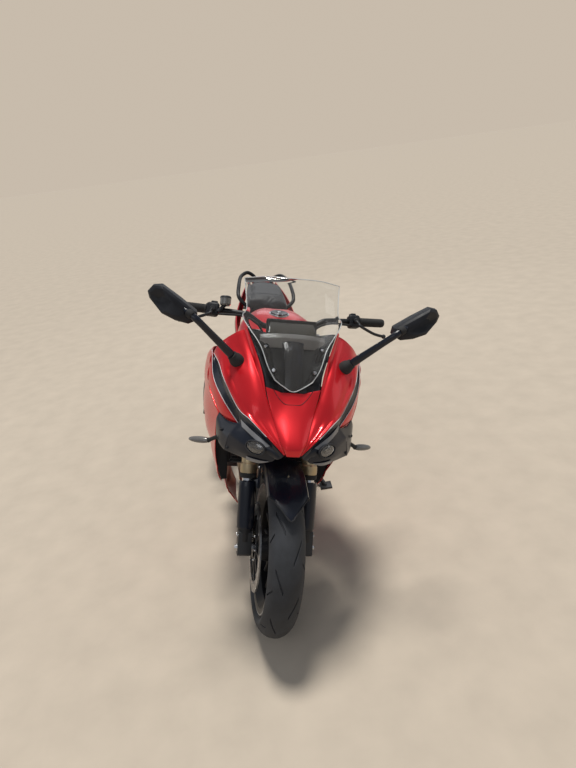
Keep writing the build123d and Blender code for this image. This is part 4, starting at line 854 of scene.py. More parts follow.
def makeFender():
    inner, half, first = fender["inner"] + fender["wall"], fender["half"], fender["from"]
    tip = inner * math.sin(math.radians(fender["to"]))

    # The angle of the front edge at a distance from the middle
    def reach(x):
        edge = (tip + fender["rise"] * abs(x) / (half + 20)) / (inner - 3)
        return 180 - math.degrees(math.asin(min(1, edge)))

    # distance from the middle, drop under the crease along the top
    profile = [(0, -2.5), (26, -0.5), (46, 1.5), (half - 4, 7), (half + 1, 18), (half + 2, 34)]
    lines = []
    for x, drop in [(-x, drop) for x, drop in profile[:0:-1]] + profile:
        radius = inner + 2 - drop
        turns = [math.radians(first + (reach(x) - first) * step / 12) for step in range(13)]
        lines.append([(x, radius * math.cos(turn), radius * math.sin(turn)) for turn in turns])
    shell = makeSkin(lines, "gloss", (0, 0, 100), fender["wall"], 2, 2, mirror=False, place=onFrontWheel)
    piece("fender_shell_left", shell, "steering", "black_plastic", "front_fender")
    rim = [(x, y - 1, z - 1) for x, y, z in (line[-1] for line in lines)]
    piece("fender_lip", [makeTube(rim, 2.4, "black", onFrontWheel, 3)], "steering", "black_plastic",
          "front_fender")
    rows = []
    for angle in range(190, 351, 20):
        turn = math.radians(angle)
        rows.append([(chassis["forkHalf"] + radius * math.cos(turn), radius * math.sin(turn), z)
                     for z, radius in ((70, 30.5), (78, 32.5), (150, 33), (220, 33), (240, 31))])
    guards = makeSkin(rows, "gloss", (chassis["forkHalf"], 0, 150), 3, 3, 2, place=onFrontWheel)
    stay = [[(x, -low, foot), (x, low, foot), (x, high, top), (x, -high, top)]
            for x, low, foot, high, top in ((69, 22, 216, 20, 300), (72, 24, 214, 22, 302),
                                            (78, 18, 214, 16, 250), (92, 17, 216, 15, 244))]
    guards += both(lambda put: makeLoft(stay, "gloss", put, 0, bevel=2), onFrontWheel)
    piece("fork_guards", guards, "steering", "black_plastic", "front_fender")
    addScrews("fender_screws", flankSpots(half + 6, [(-12, 290), (12, 290)]), 4.5, 3, "steering",
              onFrontWheel)


bars = {"end": (412.5, 85, 877), "bend": (230, 25, 860), "radius": 11, "gripLength": 121,
        "hose": [(262, 20, 846), (222, -8, 842), (168, -30, 838), (118, -36, 818), (92, -30, 786),
                 (88, -24, 764)]}


def makeBars():
    end, bend = Vector(bars["end"]), Vector(bars["bend"])
    along = (end - bend).normalized()
    across = Vector((0, 1, 0))
    up = along.cross(across).normalized()
    left = [(30, 0, 812), (75, 0, 812), (100, 0, 820), (138, -1, 844), (160, 3, 851), (230, 25, 860),
            (320, 54.6, 868.4), tuple(end)]
    bar = makeTube(flip(left[::-1]) + left, bars["radius"], "frameBlack", onFork, 5, 16)
    piece("bar_tube", [bar], "steering", "black_frame", "handlebar")
    perch = end - along * (bars["gripLength"] + 22)
    root = perch + Vector((0, -34, 0))
    ball = end + Vector((-17.5, -71, -65))
    knuckle = ball + Vector((-105, -36, 26))

    def turnedBoth(start, finish, profile, look, around=32):
        return both(lambda put: makeTurned(start, finish, profile, look, put, around), onFork)

    # A block along the bar: size is (along, across, up)
    def block(put, spot, size, look, bevel):
        long, wide, tall = size
        rings = [[spot + along * step * long + across * u * wide * grow / 2 + up * v * tall * grow / 2
                  for u, v in quartered([(1, 1)])]
                 for step, grow in ((-0.5, 0.9), (-0.3, 1), (0.3, 1), (0.5, 0.9))]
        return makeLoft(rings, look, put, 0, bevel=bevel)

    ribs = [(0, 13), (0.01, 21), (0.05, 21), (0.07, 17)]
    for rib in range(26):
        share = 0.1 + 0.86 * rib / 26
        ribs += [(share, 16.2), (share + 0.012, 17.2), (share + 0.022, 17.2)]
    ribs += [(0.985, 17), (1, 13)]
    grips = turnedBoth(end - along * (bars["gripLength"] + 4), end - along * 4, ribs, "rubber", 40)
    weights = turnedBoth(end - along * 6, end, [(0, 12), (0.2, 16), (0.8, 16), (1, 13)], "frameBlack")
    hoses = both(lambda put: makeTube(bars["hose"], 4.2, "rubber", put), onFork)
    lever = [root, root.lerp(knuckle, 0.5), knuckle, ball + Vector((-45, -12, 6)), ball]
    levers = both(lambda put: makeTube(lever, 5.6, "frameBlack", put, 6, 10), onFork)
    levers += turnedBoth(ball + Vector((-7, 0, 1)), ball + Vector((8, 0, -1)),
                         [(0, 5), (0.2, 8), (0.5, 9), (0.8, 8), (1, 3)], "frameBlack", 20)
    levers += turnedBoth(perch + Vector((0, -18, 0)), root + Vector((0, -8, 0)),
                         [(0, 11), (0.3, 10), (0.7, 10), (1, 8)], "frameBlack", 24)
    blocks = both(lambda put: block(put, perch, (52, 48, 50), "black", 8), onFork)
    blocks += both(lambda put: block(put, perch + up * 25 - along * 4, (26, 30, 14), "black", 3), onFork)
    for side, look in ((1, "facet"), (-1, "tail")):
        put = onSide(side, onFork)
        thumb = block(put, perch + across * 25 + up * 4, (9, 8, 11), "facet", 2)
        rocker = block(put, perch + across * 25 - up * 12 + along * 8, (8, 8, 8), look, 2)
        piece(f"thumb_{side}", [thumb], "steering", "black_plastic")
        piece(f"rocker_{side}", [rocker], "steering", "black_plastic")
    # The brake fluid's cup, on the right only
    cup = perch + Vector((-46, -32, 30))
    right = onSide(-1, onFork)
    reservoir = makeTurned(cup - Vector((0, 0, 17)), cup + Vector((0, 0, 12)),
                           [(0, 17), (0.15, 20), (1, 20.5)], "smoke", right, 40)
    piece("reservoir", [reservoir], "steering", "black_plastic")
    blocks.append(makeTurned(cup + Vector((0, 0, 10)), cup + Vector((0, 0, 18)),
                             [(0, 21), (0.5, 21), (1, 18)], "black", right, 40))
    blocks.append(makeTurned(cup - Vector((0, 0, 12)), cup + Vector((24, 8, -40)),
                             [(0, 8), (0.5, 7), (1, 9)], "black", right, 20))
    piece("bar_grips", grips, "steering", "grip_rubber", "grips")
    piece("brake_hoses", hoses, "steering", "grip_rubber")
    piece("bar_weights", weights, "steering", "black_frame")
    piece("switch_blocks", blocks, "steering", "black_plastic", "hand_controls")
    piece("hand_levers", levers, "steering", "black_frame", "hand_controls")
    spots = [((x, y, 834), (0, 0, 1)) for x in (-52, -32, 32, 52) for y in (-13, 13)]
    addScrews("riser_screws", spots, 4.5, 5, "steering", onFork)
    nut = makeTurned((0, 0, 776), (0, 0, 792), [(0, 17), (0.6, 17), (0.8, 14), (1, 13)], "steel", onFork, 6)
    piece("stem_nut", [nut], "steering", "steel")


# Tyres with slanted grooves: each column runs along a groove, so grooves are crisp on a coarse net

tread = {"pitches": 10, "depth": 4.5, "kink": 0.58, "inner": (0.16, 0.55), "outer": (0.62, 0.93),
         "innerSlant": 112, "outerSlant": -40, "innerWidth": 17, "outerWidth": 9}


def makeTyre(name, radius, halfWidth, crown, beadHalf, place, body, node):
    pitch = math.tau * radius / tread["pitches"]
    arc = math.asin(halfWidth / crown)

    # Where a column lies along the tyre at a share of the half width
    def slant(share):
        if share < tread["kink"]:
            return tread["innerSlant"] * (share / tread["kink"] - 1)
        return tread["outerSlant"] * (share - tread["kink"]) / (1 - tread["kink"])

    inner, outer = tread["innerWidth"], tread["outerWidth"]
    half = pitch / 2
    # (start, width, share range, side) of each groove in one pitch
    grooves = [(0, inner, tread["inner"], 1), (half, inner, tread["inner"], -1),
               (half * 1.25, outer, tread["outer"], 1), (half * 0.25, outer, tread["outer"], -1)]
    marks = {round(start + width * share, 2) for start, width, _, _ in grooves for share in (0, 0.2, 0.8, 1)}
    for step in range(12):
        spot = pitch * step / 12
        if all(abs(spot - mark) > 4 for mark in marks):
            marks.add(round(spot, 2))
    columns = [turn * pitch + mark for turn in range(tread["pitches"]) for mark in sorted(marks)]
    shares = [0, 0.08, 0.14, 0.16, 0.18, 0.24, 0.32, 0.4, 0.48, 0.53, 0.55, 0.58, 0.61, 0.62, 0.64, 0.7,
              0.78, 0.86, 0.91, 0.93, 0.97, 1.0]

    def depthAt(column, share):
        for start, width, (low, high), side in grooves:
            across = (column % pitch - start) % pitch
            if low + 0.001 < side * share < high - 0.001 and 0.1 * width < across < 0.9 * width:
                return tread["depth"]
        return 0

    # A point at a column, where x and the radius are those of a share of the half width
    def roundTyre(x, r, column, share):
        angle = (column + slant(abs(share))) / radius
        return x, r * math.sin(angle), r * math.cos(angle)

    top = []
    for share in [-share for share in reversed(shares[1:])] + shares:
        tilt = arc * share
        ring = []
        for column in columns:
            reach = crown - depthAt(column, share)
            ring.append(roundTyre(reach * math.sin(tilt), radius - crown + reach * math.cos(tilt), column,
                                  share))
        top.append(ring)
    lip = chassis["bead"] + 11
    shoulder = radius - crown + crown * math.cos(arc)
    # The side wall: share of the way down from the shoulder, and how far it stands out
    walls = [(0.12, halfWidth - 0.5), (0.3, halfWidth - 1.5), (0.5, halfWidth - 5), (0.72, halfWidth - 11),
             (0.92, beadHalf + 6), (0.96, beadHalf + 3), (1.0, beadHalf), (1.3, beadHalf)]
    below, above = ([[roundTyre(side * x, shoulder + (lip - shoulder) * share, column, 1)
                      for column in columns]
                     for share, x in walls] for side in (-1, 1))
    grid = below[::-1] + top + above
    obj = meshObject([point for ring in grid for point in ring],
                     gridFaces(len(grid), len(columns), True, True), "tyre", place)
    faceOut(obj)
    piece(name, [applyModifiers(obj, 32)], body, "tyre_rubber", node)


rim = {"spokes": 5}


def makeRim(name, beadHalf, hubRadius, hubHalf, spokeHalf, place, body, node):
    bead, edge = chassis["bead"], beadHalf + 5
    well = bothEnds([(10, bead - 32), (edge - 26, bead - 30), (edge - 14, bead - 20), (edge - 2, bead - 11),
                     (edge + 0.1, bead + 2), (edge, bead + 11), (edge - 3, bead + 11.5),
                     (beadHalf, bead + 4), (beadHalf - 2, bead), (beadHalf - 22, bead - 3),
                     (beadHalf - 30, bead - 20)])
    hub = bothEnds([(spokeHalf, hubRadius), (hubHalf * 0.6, hubRadius - 4), (hubHalf - 2, hubRadius - 10),
                    (hubHalf, hubRadius - 12), (hubHalf, 13)])
    parts = [makeLathe(well, "frameBlack", place, 128), makeLathe(hub, "frameBlack", place, 64)]
    for index in range(rim["spokes"]):
        for side in sides:
            # distance out, sideways place, half width across, half depth along the axle
            rings = [[(v * deep, side * shift + u * half, out) for u, v in quartered([(1, 0.55), (0.6, 1)])]
                     for out, shift, half, deep in ((hubRadius - 14, 15, 12, spokeHalf + 4),
                                                    (hubRadius + 16, 19, 9, spokeHalf),
                                                    (120, 28, 7, spokeHalf - 2),
                                                    (165, 35, 7.5, spokeHalf - 1),
                                                    (bead - 26, 41, 12, spokeHalf + 5))]
            parts.append(makeLoft(rings, "frameBlack", turned(place, math.tau * index / rim["spokes"]), 1,
                                  60))
    piece(name, parts, body, "rim_black", node)
    line = [(edge + 0.15, bead + 9), (edge + 0.3, bead + 8.4), (edge + 0.3, bead + 5.2),
            (edge + 0.15, bead + 4.6)]
    piece(f"{name}_lines", both(lambda put: makeLathe(line, "facet", put, 128), place), body, "steel")


disc = {"holes": 36, "hole": 3.4, "arms": 10, "smooth": 5, "thick": 5}


def makeDisc(name, radius, band, hub, at, wheel, body, node):
    sectors, inside, half = disc["holes"], radius - band, disc["thick"] / 2
    steps = sectors * disc["smooth"]

    def place(x, y, z):
        return wheel(x + at, y, z)

    outer = []
    for index in range(steps):
        angle = math.tau * index / steps
        wavy = radius - 1.5 + 1.2 * math.cos(angle * 12)
        outer.append((wavy * math.cos(angle), wavy * math.sin(angle)))
    holes = [circle(inside, steps)]
    for index in range(sectors):
        for out, shift in ((0.2, 0.25), (0.5, 0.5), (0.8, 0.75)):
            middle = radius - band * out - 1
            angle = math.tau * (index + (shift if index % 2 else 1 - shift)) / sectors
            cx, cy = middle * math.cos(angle), middle * math.sin(angle)
            holes.append([(cx + u, cy + v) for u, v in circle(disc["hole"], 12)])
    rubbed = makeHoledPlate(outer, holes, lambda u, v, w: (w, u, v), -half, half, "disc", place)
    piece(name, [rubbed], body, "steel", node)
    carrier = [makeLathe(bothEnds([(3, hub + 14), (4, hub + 13), (4, hub)]), "frameBlack", place, 64)]
    bobbins = []
    for arm in range(disc["arms"]):
        onArm = turned(place, math.tau * arm / disc["arms"])
        # distance out and half width of the arm
        rings = [[(u * 3.2, y, v * tall) for u, v in quartered([(1, 0.5), (0.85355, 0.85355), (0.5, 1)])]
                 for y, tall in ((hub + 10, 9), ((hub + inside) / 2, 5.5), (inside - 5, 7))]
        carrier.append(makeLoft(rings, "frameBlack", onArm))
        bobbins.append(makeLathe(bothEnds([(half + 1, 6), (half + 1, 2)]), "steel",
                                 lambda x, y, z: onArm(x, y + inside - 1, z), 20))
    piece(f"{name}_carrier", carrier, body, "black_frame")
    piece(f"{name}_bobbins", bobbins, body, "steel")


def makeWheels():
    makeTyre("tyre_front", chassis["frontTyre"], 60, 62, 46, onFrontWheel, "front_wheel", "front_tyre")
    makeTyre("tyre_rear", chassis["rearTyre"], 95, 105, 76, onRearWheel, "rear_wheel", "rear_tyre")
    makeRim("rim_front", 46, 50, 69.5, 13, onFrontWheel, "front_wheel", "front_rim")
    makeRim("rim_rear", 76, 54, 97.5, 16, onRearWheel, "rear_wheel", "rear_rim")
    makeDisc("disc_left", 155, 36, 36, 72, onFrontWheel, "front_wheel", "front_discs")
    makeDisc("disc_right", 155, 36, 36, -72, onFrontWheel, "front_wheel", "front_discs")
    makeDisc("disc_rear", 120, 32, 36, -100, onRearWheel, "rear_wheel", "rear_disc")
    addScrews("disc_screws", flankSpots(76, circle(43, 5, math.pi / 5)), 4, 3, "front_wheel", onFrontWheel)
    spots = [((115.2, y, z), (1, 0, 0)) for y, z in circle(48, 5)]
    addScrews("sprocket_screws", spots, 6, 5, "rear_wheel", onRearWheel)
    addScrews("front_axle_nuts", flankSpots(137, [(0, 0)]), 10, 7, "steering", onFrontWheel)
    addScrews("rear_axle_nuts", flankSpots(166, [(0, 0)]), 10, 7, "frame", onRearWheel)


caliper = {"angle": 40, "radius": 135, "rearAngle": 48, "rearRadius": 104}


def makeCaliperBolts():
    front = turned(onFrontWheel, math.radians(caliper["angle"] - 90))
    rear = turned(onRearWheel, math.radians(caliper["rearAngle"]))
    out = caliper["radius"]
    bolts = flankSpots(112, [(along, out + rise) for rise in (24, -22) for along in (-46, 46)])
    addScrews("caliper_screws", bolts, 4.5, 3.5, "steering", front)
    pistons = flankSpots(112, [(along, out + 2) for along in (-24, 24)])
    addScrews("caliper_pistons", pistons, 14, 3, "steering", front, "frameBlack", "caliper_black")
    bolts = [((-125.2, along, caliper["rearRadius"] + rise), (-1, 0, 0))
             for rise in (14, -16) for along in (-32, 32)]
    addScrews("rear_caliper_screws", bolts, 4.5, 3.5, "frame", rear)


# Tank, filler and cap

tank = {"capSpot": (0, -94, 998), "ringHeight": 8}


def makeTank():
    # y, then (x, z) down the left side from the middle of the top
    sections = [(-318, [(0, 946), (34, 945), (56, 932), (76, 908), (60, 887), (0, 884)]),
                (-280, [(0, 978), (46, 974), (92, 946), (118, 900), (96, 846), (0, 842)]),
                (-230, [(0, 990), (60, 985), (128, 948), (154, 892), (120, 822), (0, 818)]),
                (-150, [(0, 999), (72, 997), (146, 957), (168, 892), (126, 804), (0, 800)]),
                (-90, [(0, 1003), (80, 1001), (150, 960), (174, 890), (128, 801), (0, 800)]),
                (-10, [(0, 998), (76, 995), (140, 950), (164, 886), (124, 801), (0, 800)]),
                (60, [(0, 984), (66, 980), (122, 932), (148, 878), (112, 801), (0, 800)]),
                (110, [(0, 958), (58, 952), (104, 906), (128, 864), (98, 801), (0, 800)]),
                (150, [(0, 928), (48, 920), (86, 884), (108, 848), (84, 801), (0, 800)]),
                (188, [(0, 868), (40, 862), (66, 848), (84, 828), (66, 802), (0, 801)])]
    rings = []
    for y, outline in sections:
        left = [(x, y, z) for x, z in outline]
        left = smoothLine(left[:4], 4)[:-1] + smoothLine(left[3:], 3)
        rings.append(left + flip(left[-2:0:-1]))
    skin = makeLoft(smoothRings(rings, 5), "red", subdivide=0, sharp=40)
    piece("tank_skin", [skin], "frame", "red_paint", "fuel_tank")
    x, y, z = tank["capSpot"]
    ringTop = z + tank["ringHeight"]

    def onFiller(px, py, pz):
        return onBike(x + py, y + pz, z + px)

    ring = makeLathe([(-6, 33), (8, 33), (8.2, 34), (8.2, 41), (7, 43.5), (2, 45), (-6, 45)], "steel",
                     onFiller)
    piece("filler_ring", [ring], "frame", "cap_metal", "fuel_tank")
    spots = [((x + u, y + v, ringTop + 0.1), (0, 0, 1)) for u, v in circle(38, 6, math.pi / 6)]
    addScrews("filler_screws", spots, 2.6, 1.6, "frame", look="black", slot="cap_metal")
    lid = makeLathe([(-4, 0.01), (-4, 22), (8.4, 22), (8.4, 36), (11.6, 36), (12.3, 35), (12.3, 12),
                     (11.2, 10), (11.2, 0.01)], "cap", onFiller, closed=False)
    piece("cap_lid", [lid], "fuel_cap", "cap_metal", "fuel_cap")
    key = makeTurned((0, y + 6, z + 11), (0, y + 6, z + 13.2), [(0, 9), (0.6, 9), (1, 8)], "steel")
    piece("cap_key", [key], "fuel_cap", "cap_metal")
    # The hinge lies across behind the lid
    pin, barrel = y - 41, [(0, 3.4), (1, 3.4)]
    hinge = makeTurned((-6, pin, z + 12), (6, pin, z + 12), barrel, "cap")
    arm = makeLoft([[(-half, at, z + 9.6), (half, at, z + 9.6), (half, at, top), (-half, at, top)]
                    for half, at, top in ((5, pin, z + 13), (6, y - 28, z + 12.3))], "cap", subdivide=0,
                   bevel=0.8)
    piece("cap_arms", [hinge, arm], "fuel_cap", "cap_metal", "fuel_cap")
    ears = [makeTurned((side * 6.6, pin, z + 11.5), (side * 10, pin, z + 11.5), barrel, "steel")
            for side in sides]
    piece("cap_ears", ears, "frame", "cap_metal", "fuel_tank")


# Seats: padded covers blown up by cloth, then seams along them

seats = {"voxel": 0.0055, "pressure": 4.0, "frames": 20, "cap": 0.009, "start": 0.965}


def padSeat(obj):
    rest = [vertex.co.copy() for vertex in obj.data.vertices]
    cloth = obj.modifiers.new("pad", "CLOTH")
    cloth.settings.use_pressure = True
    cloth.settings.uniform_pressure_force = seats["pressure"]
    cloth.settings.tension_stiffness = 12
    cloth.settings.compression_stiffness = 12
    cloth.settings.bending_stiffness = 0.4
    cloth.settings.effector_weights.gravity = 0
    cloth.point_cache.frame_end = seats["frames"]
    for step in range(1, seats["frames"] + 1):
        bpy.context.scene.frame_set(step)
    graph = bpy.context.evaluated_depsgraph_get()
    swollen = bpy.data.meshes.new_from_object(obj.evaluated_get(graph))
    obj.modifiers.clear()
    for vertex, before, after in zip(obj.data.vertices, rest, swollen.vertices):
        move = after.co - before
        if move.length > seats["cap"]:
            move = move.normalized() * seats["cap"]
        vertex.co = before + move
    bpy.data.meshes.remove(swollen)
    bpy.context.scene.frame_set(1)


def makeSeat(name, sections, node):
    rings = []
    for y, outline in sections:
        middle = sum(z for _, z in outline) / len(outline)
        left = [(x * seats["start"], y, middle + (z - middle) * seats["start"]) for x, z in outline]
        rings.append(left + flip(left[-2:0:-1]))
    obj = makeLoft(smoothRings(rings, 4), "seat")
    remesh = obj.modifiers.new("even", "REMESH")
    remesh.mode = "VOXEL"
    remesh.voxel_size = seats["voxel"]
    applyModifiers(obj, 60)
    padSeat(obj)
    addSmooth(obj, 1)
    applyModifiers(obj, 80)
    obj.data.materials.clear()
    obj.data.materials.append(looks["seat"])
    piece(name, [obj], "frame", "seat_cover", node)
    return obj


# A line that lies on the cover: each of its points is dropped onto it
def layOn(obj, line, lift=0.4):
    down = bikeFrame.to_3x3() @ Vector((0, 0, -1))
    back = bikeFrame.inverted()
    points = []
    for point in smoothLine(line, 5):
        found, spot, normal, _ = obj.ray_cast(onBike(*point) - down * 0.08, down)
        if found:
            points.append(tuple((back @ (spot + normal * lift / 1000)) * 1000))
    return points


def makeSeats():
    rider = [(202, [(0, 846), (40, 845), (70, 838), (87, 804), (68, 764), (0, 762)]),
             (240, [(0, 830), (52, 830), (92, 824), (112, 792), (88, 756), (0, 754)]),
             (280, [(0, 820), (60, 822), (108, 820), (130, 788), (104, 754), (0, 752)]),
             (340, [(0, 818), (66, 822), (122, 822), (146, 792), (118, 756), (0, 754)]),
             (400, [(0, 828), (66, 832), (126, 830), (152, 802), (128, 762), (0, 760)]),
             (438, [(0, 868), (60, 868), (110, 862), (145, 826), (126, 782), (0, 780)])]
    pillion = [(448, [(0, 928), (52, 928), (86, 922), (117, 896), (100, 852), (0, 850)]),
               (500, [(0, 940), (56, 939), (94, 932), (122, 902), (104, 862), (0, 860)]),
               (560, [(0, 946), (56, 945), (96, 938), (123, 908), (104, 874), (0, 872)]),
               (640, [(0, 954), (54, 953), (92, 946), (118, 916), (98, 884), (0, 882)]),
               (700, [(0, 959), (50, 958), (88, 950), (111, 922), (92, 892), (0, 890)]),
               (778, [(0, 958), (42, 957), (70, 950), (90, 928), (72, 902), (0, 900)])]
    front = makeSeat("rider_cover", rider, "rider_seat")
    rear = makeSeat("pillion_cover", pillion, "pillion_seat")
    # Seams from above: two across each cover, from their left half, and one along each of its sides
    seams = []
    for obj, across, along in ((front, [[(0, 250, 860), (96, 262, 860)], [(0, 404, 880), (112, 392, 880)]],
                                [(62, 236, 880), (78, 300, 880), (86, 380, 880), (72, 424, 890)]),
                               (rear, [[(0, 512, 970), (84, 520, 970)], [(0, 708, 980), (74, 700, 980)]],
                                [(66, 468, 970), (76, 560, 970), (70, 680, 980), (52, 752, 980)])):
        for line in [acrossLine(half) for half in across] + [along, flip(along)]:
            seams.append(makeTube(layOn(obj, line), 1.3, "seam", smooth=1, around=6))
    piece("seat_seams", seams, "frame", "seat_cover")


# Tail, rails and lights

def makeTail():
    cowl = [[(150, 250, 772), (160, 440, 832), (138, 620, 882), (112, 800, 907), (78, 950, 927)],
            [(155, 246, 758), (166, 440, 812), (145, 620, 864), (118, 800, 894), (78, 952, 917)],
            [(152, 230, 738), (164, 440, 786), (144, 620, 842), (116, 800, 878), (75, 958, 903)],
            [(134, 240, 700), (140, 440, 755), (124, 620, 820), (96, 800, 862), (60, 950, 885)]]
    addSkin("tail_skins", cowl, "red", "red_paint", "tail_cowls", crown=2, inside=(0, 500, 800))
    strip = [[(156, 246, 757), (167.5, 440, 810), (146.5, 620, 862), (119, 800, 892)],
             [(156, 242, 750), (167.5, 440, 802), (146.5, 620, 855), (119, 800, 888)]]
    addSkin("tail_strips", strip, "gloss", "black_plastic", wall=2, inside=(0, 500, 800), bevel=0.5)
    rail = [(84, 575, 852), (110, 576, 862), (140, 590, 886), (154, 612, 908), (153, 680, 935),
            (144, 810, 958), (128, 868, 970), (98, 905, 978), (62, 914, 960), (48, 915, 936), (48, 915, 884)]
    rails = both(lambda put: makeTube(rail, 10.5, "frameBlack", put, 6, 16))
    piece("rail_tubes", rails, "frame", "black_frame", "grab_rails")
    lens = [(-70, 926), (-40, 930), (0, 931), (40, 930), (70, 926), (74, 908), (58, 892), (0, 889),
            (-58, 892), (-74, 908)]
    rings = [[(x * grow, y, 909 + (z - 909) * grow) for x, z in lens]
             for y, grow in ((950, 0.9), (956, 0.96), (975, 0.98), (984, 0.9), (986, 0.7))]
    piece("tail_lens", [makeLoft(rings, "tail")], "frame", "red_lens", "tail_light")
    rings = [[(x * grow, y, z) for x, z in ((-54, 878), (54, 878), (58, 900), (-58, 900))]
             for y, grow in ((931, 0.95), (940, 1), (958, 1), (962, 0.94))]
    piece("tail_housing", [makeLoft(rings, "black", subdivide=0, bevel=3)], "frame", "black_plastic",
          "tail_light")


# root, neck and tip, which way the lens faces, and its half width
signals = (((214, -676, 724), (262, -640, 680), (330, -606, 665), (0, -1, 0), 18),
           ((20, 985, 742), (72, 985, 742), (134, 985, 742), (0, 1, 0), 15))


def makeSignals():
    stems, lenses = [], []
    for root, neck, tip, facing, wide in signals:
        root, neck, tip, facing = Vector(root), Vector(neck), Vector(tip), Vector(facing)
        stems += both(lambda put: makeTurned(root, neck, [(0, 9), (0.3, 7), (0.85, 7), (1, 9)], "rubber",
                                             put, 24))
        ahead = (tip - neck).normalized()
        deep = (facing - ahead * facing.dot(ahead)).normalized()
        up = ahead.cross(deep)
        rings = [[neck.lerp(tip, share) + deep * u * wide * grow * 0.8 + up * v * wide * grow * 0.72
                  for u, v in ((0, 1), (0.8, 0.75), (1.2, 0), (0.8, -0.75), (0, -1), (-0.7, -0.7), (-0.8, 0),
                               (-0.7, 0.7))]
                 for share, grow in ((-0.06, 0.45), (0.04, 0.8), (0.3, 1), (0.65, 0.92), (0.92, 0.6),
                                     (1, 0.2))]
        lenses += both(lambda put: makeLoft(rings, "smoke", put, 2, 70))
    piece("signal_stems", stems, "frame", "grip_rubber", "turn_signals")
    piece("signal_lenses", lenses, "frame", "smoke_lens", "turn_signals")


# Underbody and engine

def makeUnder():
    cowl = [[(178, -380, 330), (186, -245, 296), (172, -60, 270)],
            [(170, -380, 308), (178, -243, 270), (163, -60, 248)],
            [(158, -376, 285), (165, -240, 240), (150, -60, 225)],
            [(104, -372, 215), (122, -240, 168), (120, -60, 152)]]
    addSkin("under_skins", cowl, "red", "red_paint", "under_cowls", crown=2, inside=(0, -200, 300))


# y, x and z of the middle, half width and half height
mufflerStations = [(290, -215, 305, 38, 43), (305, -219, 313, 46, 56), (350, -238, 340, 58, 71),
                   (430, -243, 364, 60, 75), (520, -246, 390, 60, 77), (600, -246, 414, 56, 72),
                   (628, -246, 422, 51, 66), (636, -246, 424, 46, 60)]


def makeMuffler():
    outline = [(1, 0.1), (0.96, 0.55), (0.7, 0.85), (0.1, 0.98), (-0.5, 0.95), (-0.9, 0.6), (-1, 0.1),
               (-0.95, -0.45), (-0.6, -0.85), (0.1, -1), (0.7, -0.82), (0.97, -0.4)]
    rings = [[(x + u * half, y, z + v * tall) for u, v in outline]
             for y, x, z, half, tall in mufflerStations]
    piece("muffler_can", [makeLoft(rings, "muffler", subdivide=2, sharp=60)], "frame", "muffler_black",
          "muffler")
    outlet = makeTurned((-238, 628, 400), (-238, 644, 404), [(0, 22), (0, 30), (0.2, 32), (0.9, 32), (1, 29),
                                                             (1, 22), (0.9, 20), (0.1, 20)], "steel")
    piece("muffler_outlet", [outlet], "frame", "steel", "muffler")
    guard = [[(x + u * half - 2, y, z + v * tall) for y, x, z, half, tall in mufflerStations[2:6]]
             for u, v in ((-1.03, -0.35), (-1.06, 0), (-1.0, 0.4), (-0.9, 0.66))]
    addSkin("muffler_guard_left", guard, "engine", "muffler_black", wall=2, crown=1, mirror=False,
            inside=(-240, 450, 370))
    spots = [((-302, y, z), (-1, 0, 0)) for y, z in ((370, 362), (590, 424))]
    addScrews("muffler_screws", spots, 4.5, 3, "frame")


shock = {"low": (0, 238, 366), "high": (0, 226, 532), "radius": 25, "wire": 5.5, "turns": 7}


def makeShock():
    low, high, radius = Vector(shock["low"]), Vector(shock["high"]), shock["radius"]
    axis = (high - low).normalized()
    side = axis.cross(Vector((1, 0, 0))).normalized()
    other = axis.cross(side)
    steps = shock["turns"] * 14
    helix = []
    for step in range(steps + 1):
        turn = math.tau * shock["turns"] * step / steps
        middle = low.lerp(high, 0.04 + 0.92 * step / steps)
        helix.append(middle + (side * math.cos(turn) + other * math.sin(turn)) * radius)
    coil = makeTube(helix, shock["wire"], "red", smooth=1)
    piece("shock_coil", [coil], "frame", "shock", "rear_shock")
    parts = [makeTurned(start, end, profile, "frameBlack") for start, end, profile in (
        ((0, 240, 330), (0, 214, 590), [(0, 14), (0.13, 14), (0.135, 29), (0.165, 29), (0.17, 17), (0.5, 17),
                                        (0.51, 9), (0.76, 9), (0.765, 29), (0.8, 29), (0.81, 22),
                                        (0.93, 22), (1, 12)]),
        ((-17, 196, 590), (17, 196, 590), [(0, 22), (0.1, 24), (0.9, 24), (1, 22)]),
        ((0, 240, 345), (0, 300, 372), [(0, 13), (1, 13)]))]
    piece("shock_parts", parts, "frame", "shock", "rear_shock")


radiator = {"middle": (0, -372, 598), "tilt": -9, "half": (168, 13, 138), "fins": 92, "tubes": 16}


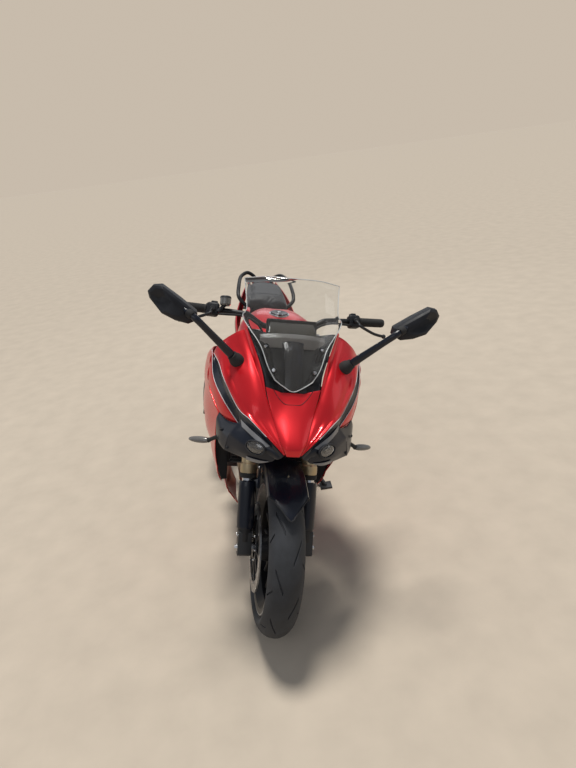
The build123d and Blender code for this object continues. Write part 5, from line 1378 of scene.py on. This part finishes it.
def makeRadiator():
    wide, deep, tall = radiator["half"]
    onCore = turned(lambda x, y, z: onBike(*(Vector(radiator["middle"]) + Vector((x, y, z)))),
                    math.radians(radiator["tilt"]))
    points, faces = [], []

    def addBar(x0, x1, half, z0, z1):
        start = len(points)
        points.extend([(x, y, z) for z in (z0, z1)
                       for x, y in ((x0, -half), (x1, -half), (x1, half), (x0, half))])
        for face in ((0, 1, 2, 3), (4, 5, 6, 7), (0, 1, 5, 4), (1, 2, 6, 5), (2, 3, 7, 6), (3, 0, 4, 7)):
            faces.append(tuple(start + index for index in face))

    for index in range(radiator["tubes"]):
        z = -tall + 2 * tall * (index + 0.5) / radiator["tubes"]
        addBar(-wide, wide, deep + 1, z - 1.6, z + 1.6)
    for index in range(radiator["fins"]):
        x = -wide + 2 * wide * (index + 0.5) / radiator["fins"]
        addBar(x - 0.5, x + 0.5, deep, -tall, tall)
    core = meshObject(points, faces, "core", onCore)
    faceOut(core)
    piece("radiator_fins", [applyModifiers(core)], "frame", "radiator_metal", "radiator")
    parts = []
    for side in sides:
        rings = [[(side * 184 + u * 14, v * 17, z) for u, v in quartered([(1, 0.6), (0.6, 1)])]
                 for z in (-145, -138, 0, 138, 145)]
        parts.append(makeLoft(rings, "frameBlack", onCore, 0, bevel=2))
        rings = [[(x, v * 14, side * 142 + u * 4) for u, v in quartered([(1, 1)])] for x in (-172, 172)]
        parts.append(makeLoft(rings, "frameBlack", onCore, 0, bevel=1))
        parts.append(makeTurned((side * 92, -352, 690), (side * 92, -274, 690), [(0, 9), (1, 9)],
                                "frameBlack"))
    piece("radiator_frame", parts, "frame", "radiator_metal", "radiator")


def makeEngineTrim():
    spots, caps = [], []
    # middle (y, z), face x, bolt circle, count, first angle
    for y, z, x, radius, count, first in ((-110, 395, 218, 70, 9, 10), (44, 410, -216, 66, 9, 20),
                                          (-120, 390, -208, 58, 7, 0), (81.6, 430, 156, 58, 4, 45)):
        side = 1 if x > 0 else -1
        spots += [((x, y + u, z + v), (side, 0, 0)) for u, v in circle(radius, count, math.radians(first))]
        caps.append(makeTurned((x - side, y, z), (x + side * 7, y, z),
                               [(share, radius * wide) for share, wide in ((0, 0.62), (0.4, 0.6), (0.6, 0.5),
                                                                           (0.8, 0.5), (1, 0.42))],
                               "cover", around=56))
    addScrews("cover_screws", spots, 5, 4.5, "frame", slot="engine_metal")
    piece("cover_caps", caps, "frame", "engine_metal")
    spots = flankSpots(143.2, [(96, 586), (150, 616), (206, 606)])
    spots += flankSpots(144, [(148, 312), (196, 330), (100, 500)])
    addScrews("frame_screws", spots, 8, 6, "frame")


# Rubber on the pegs of rider and pillion: y, start and end as (x, z), radius
pegs = {"ribs": 9, "pads": ((240, (196, 363), (298, 366), 13.5), (515, (150, 530), (234, 532), 12.5))}


def makePegs():
    pads = []
    for y, (x0, z0), (x1, z1), radius in pegs["pads"]:
        ribs = []
        for rib in range(pegs["ribs"]):
            share = rib / pegs["ribs"]
            ribs += [(share, radius - 1), (share + 0.02, radius + 0.8), (share + 0.07, radius + 0.8),
                     (share + 0.09, radius - 1)]
        ribs.append((1, radius - 2))
        pads += [makeTurned((side * x0, y, z0), (side * x1, y, z1), ribs, "rubber", around=28)
                 for side in sides]
    piece("peg_pads", pads, "frame", "grip_rubber")


makeCamera()
makeStage()
dressNodes()
makeBeak()
makeCowl()
makeAccent()
makeSide()
makeLampCowl()
makeHeadlamps()
print("fairing done")
makeScreen()
makeInnerPanel()
makeMirrors()
print("screen and mirrors done")
makeFork()
makeFender()
makeBars()
print("fork and bars done")
makeWheels()
makeCaliperBolts()
print("wheels done")
makeTank()
makeSeats()
makeTail()
makeSignals()
print("tank, seats and tail done")
makeUnder()
makeMuffler()
makeShock()
makeRadiator()
makeEngineTrim()
makePegs()
print("underside and engine done")
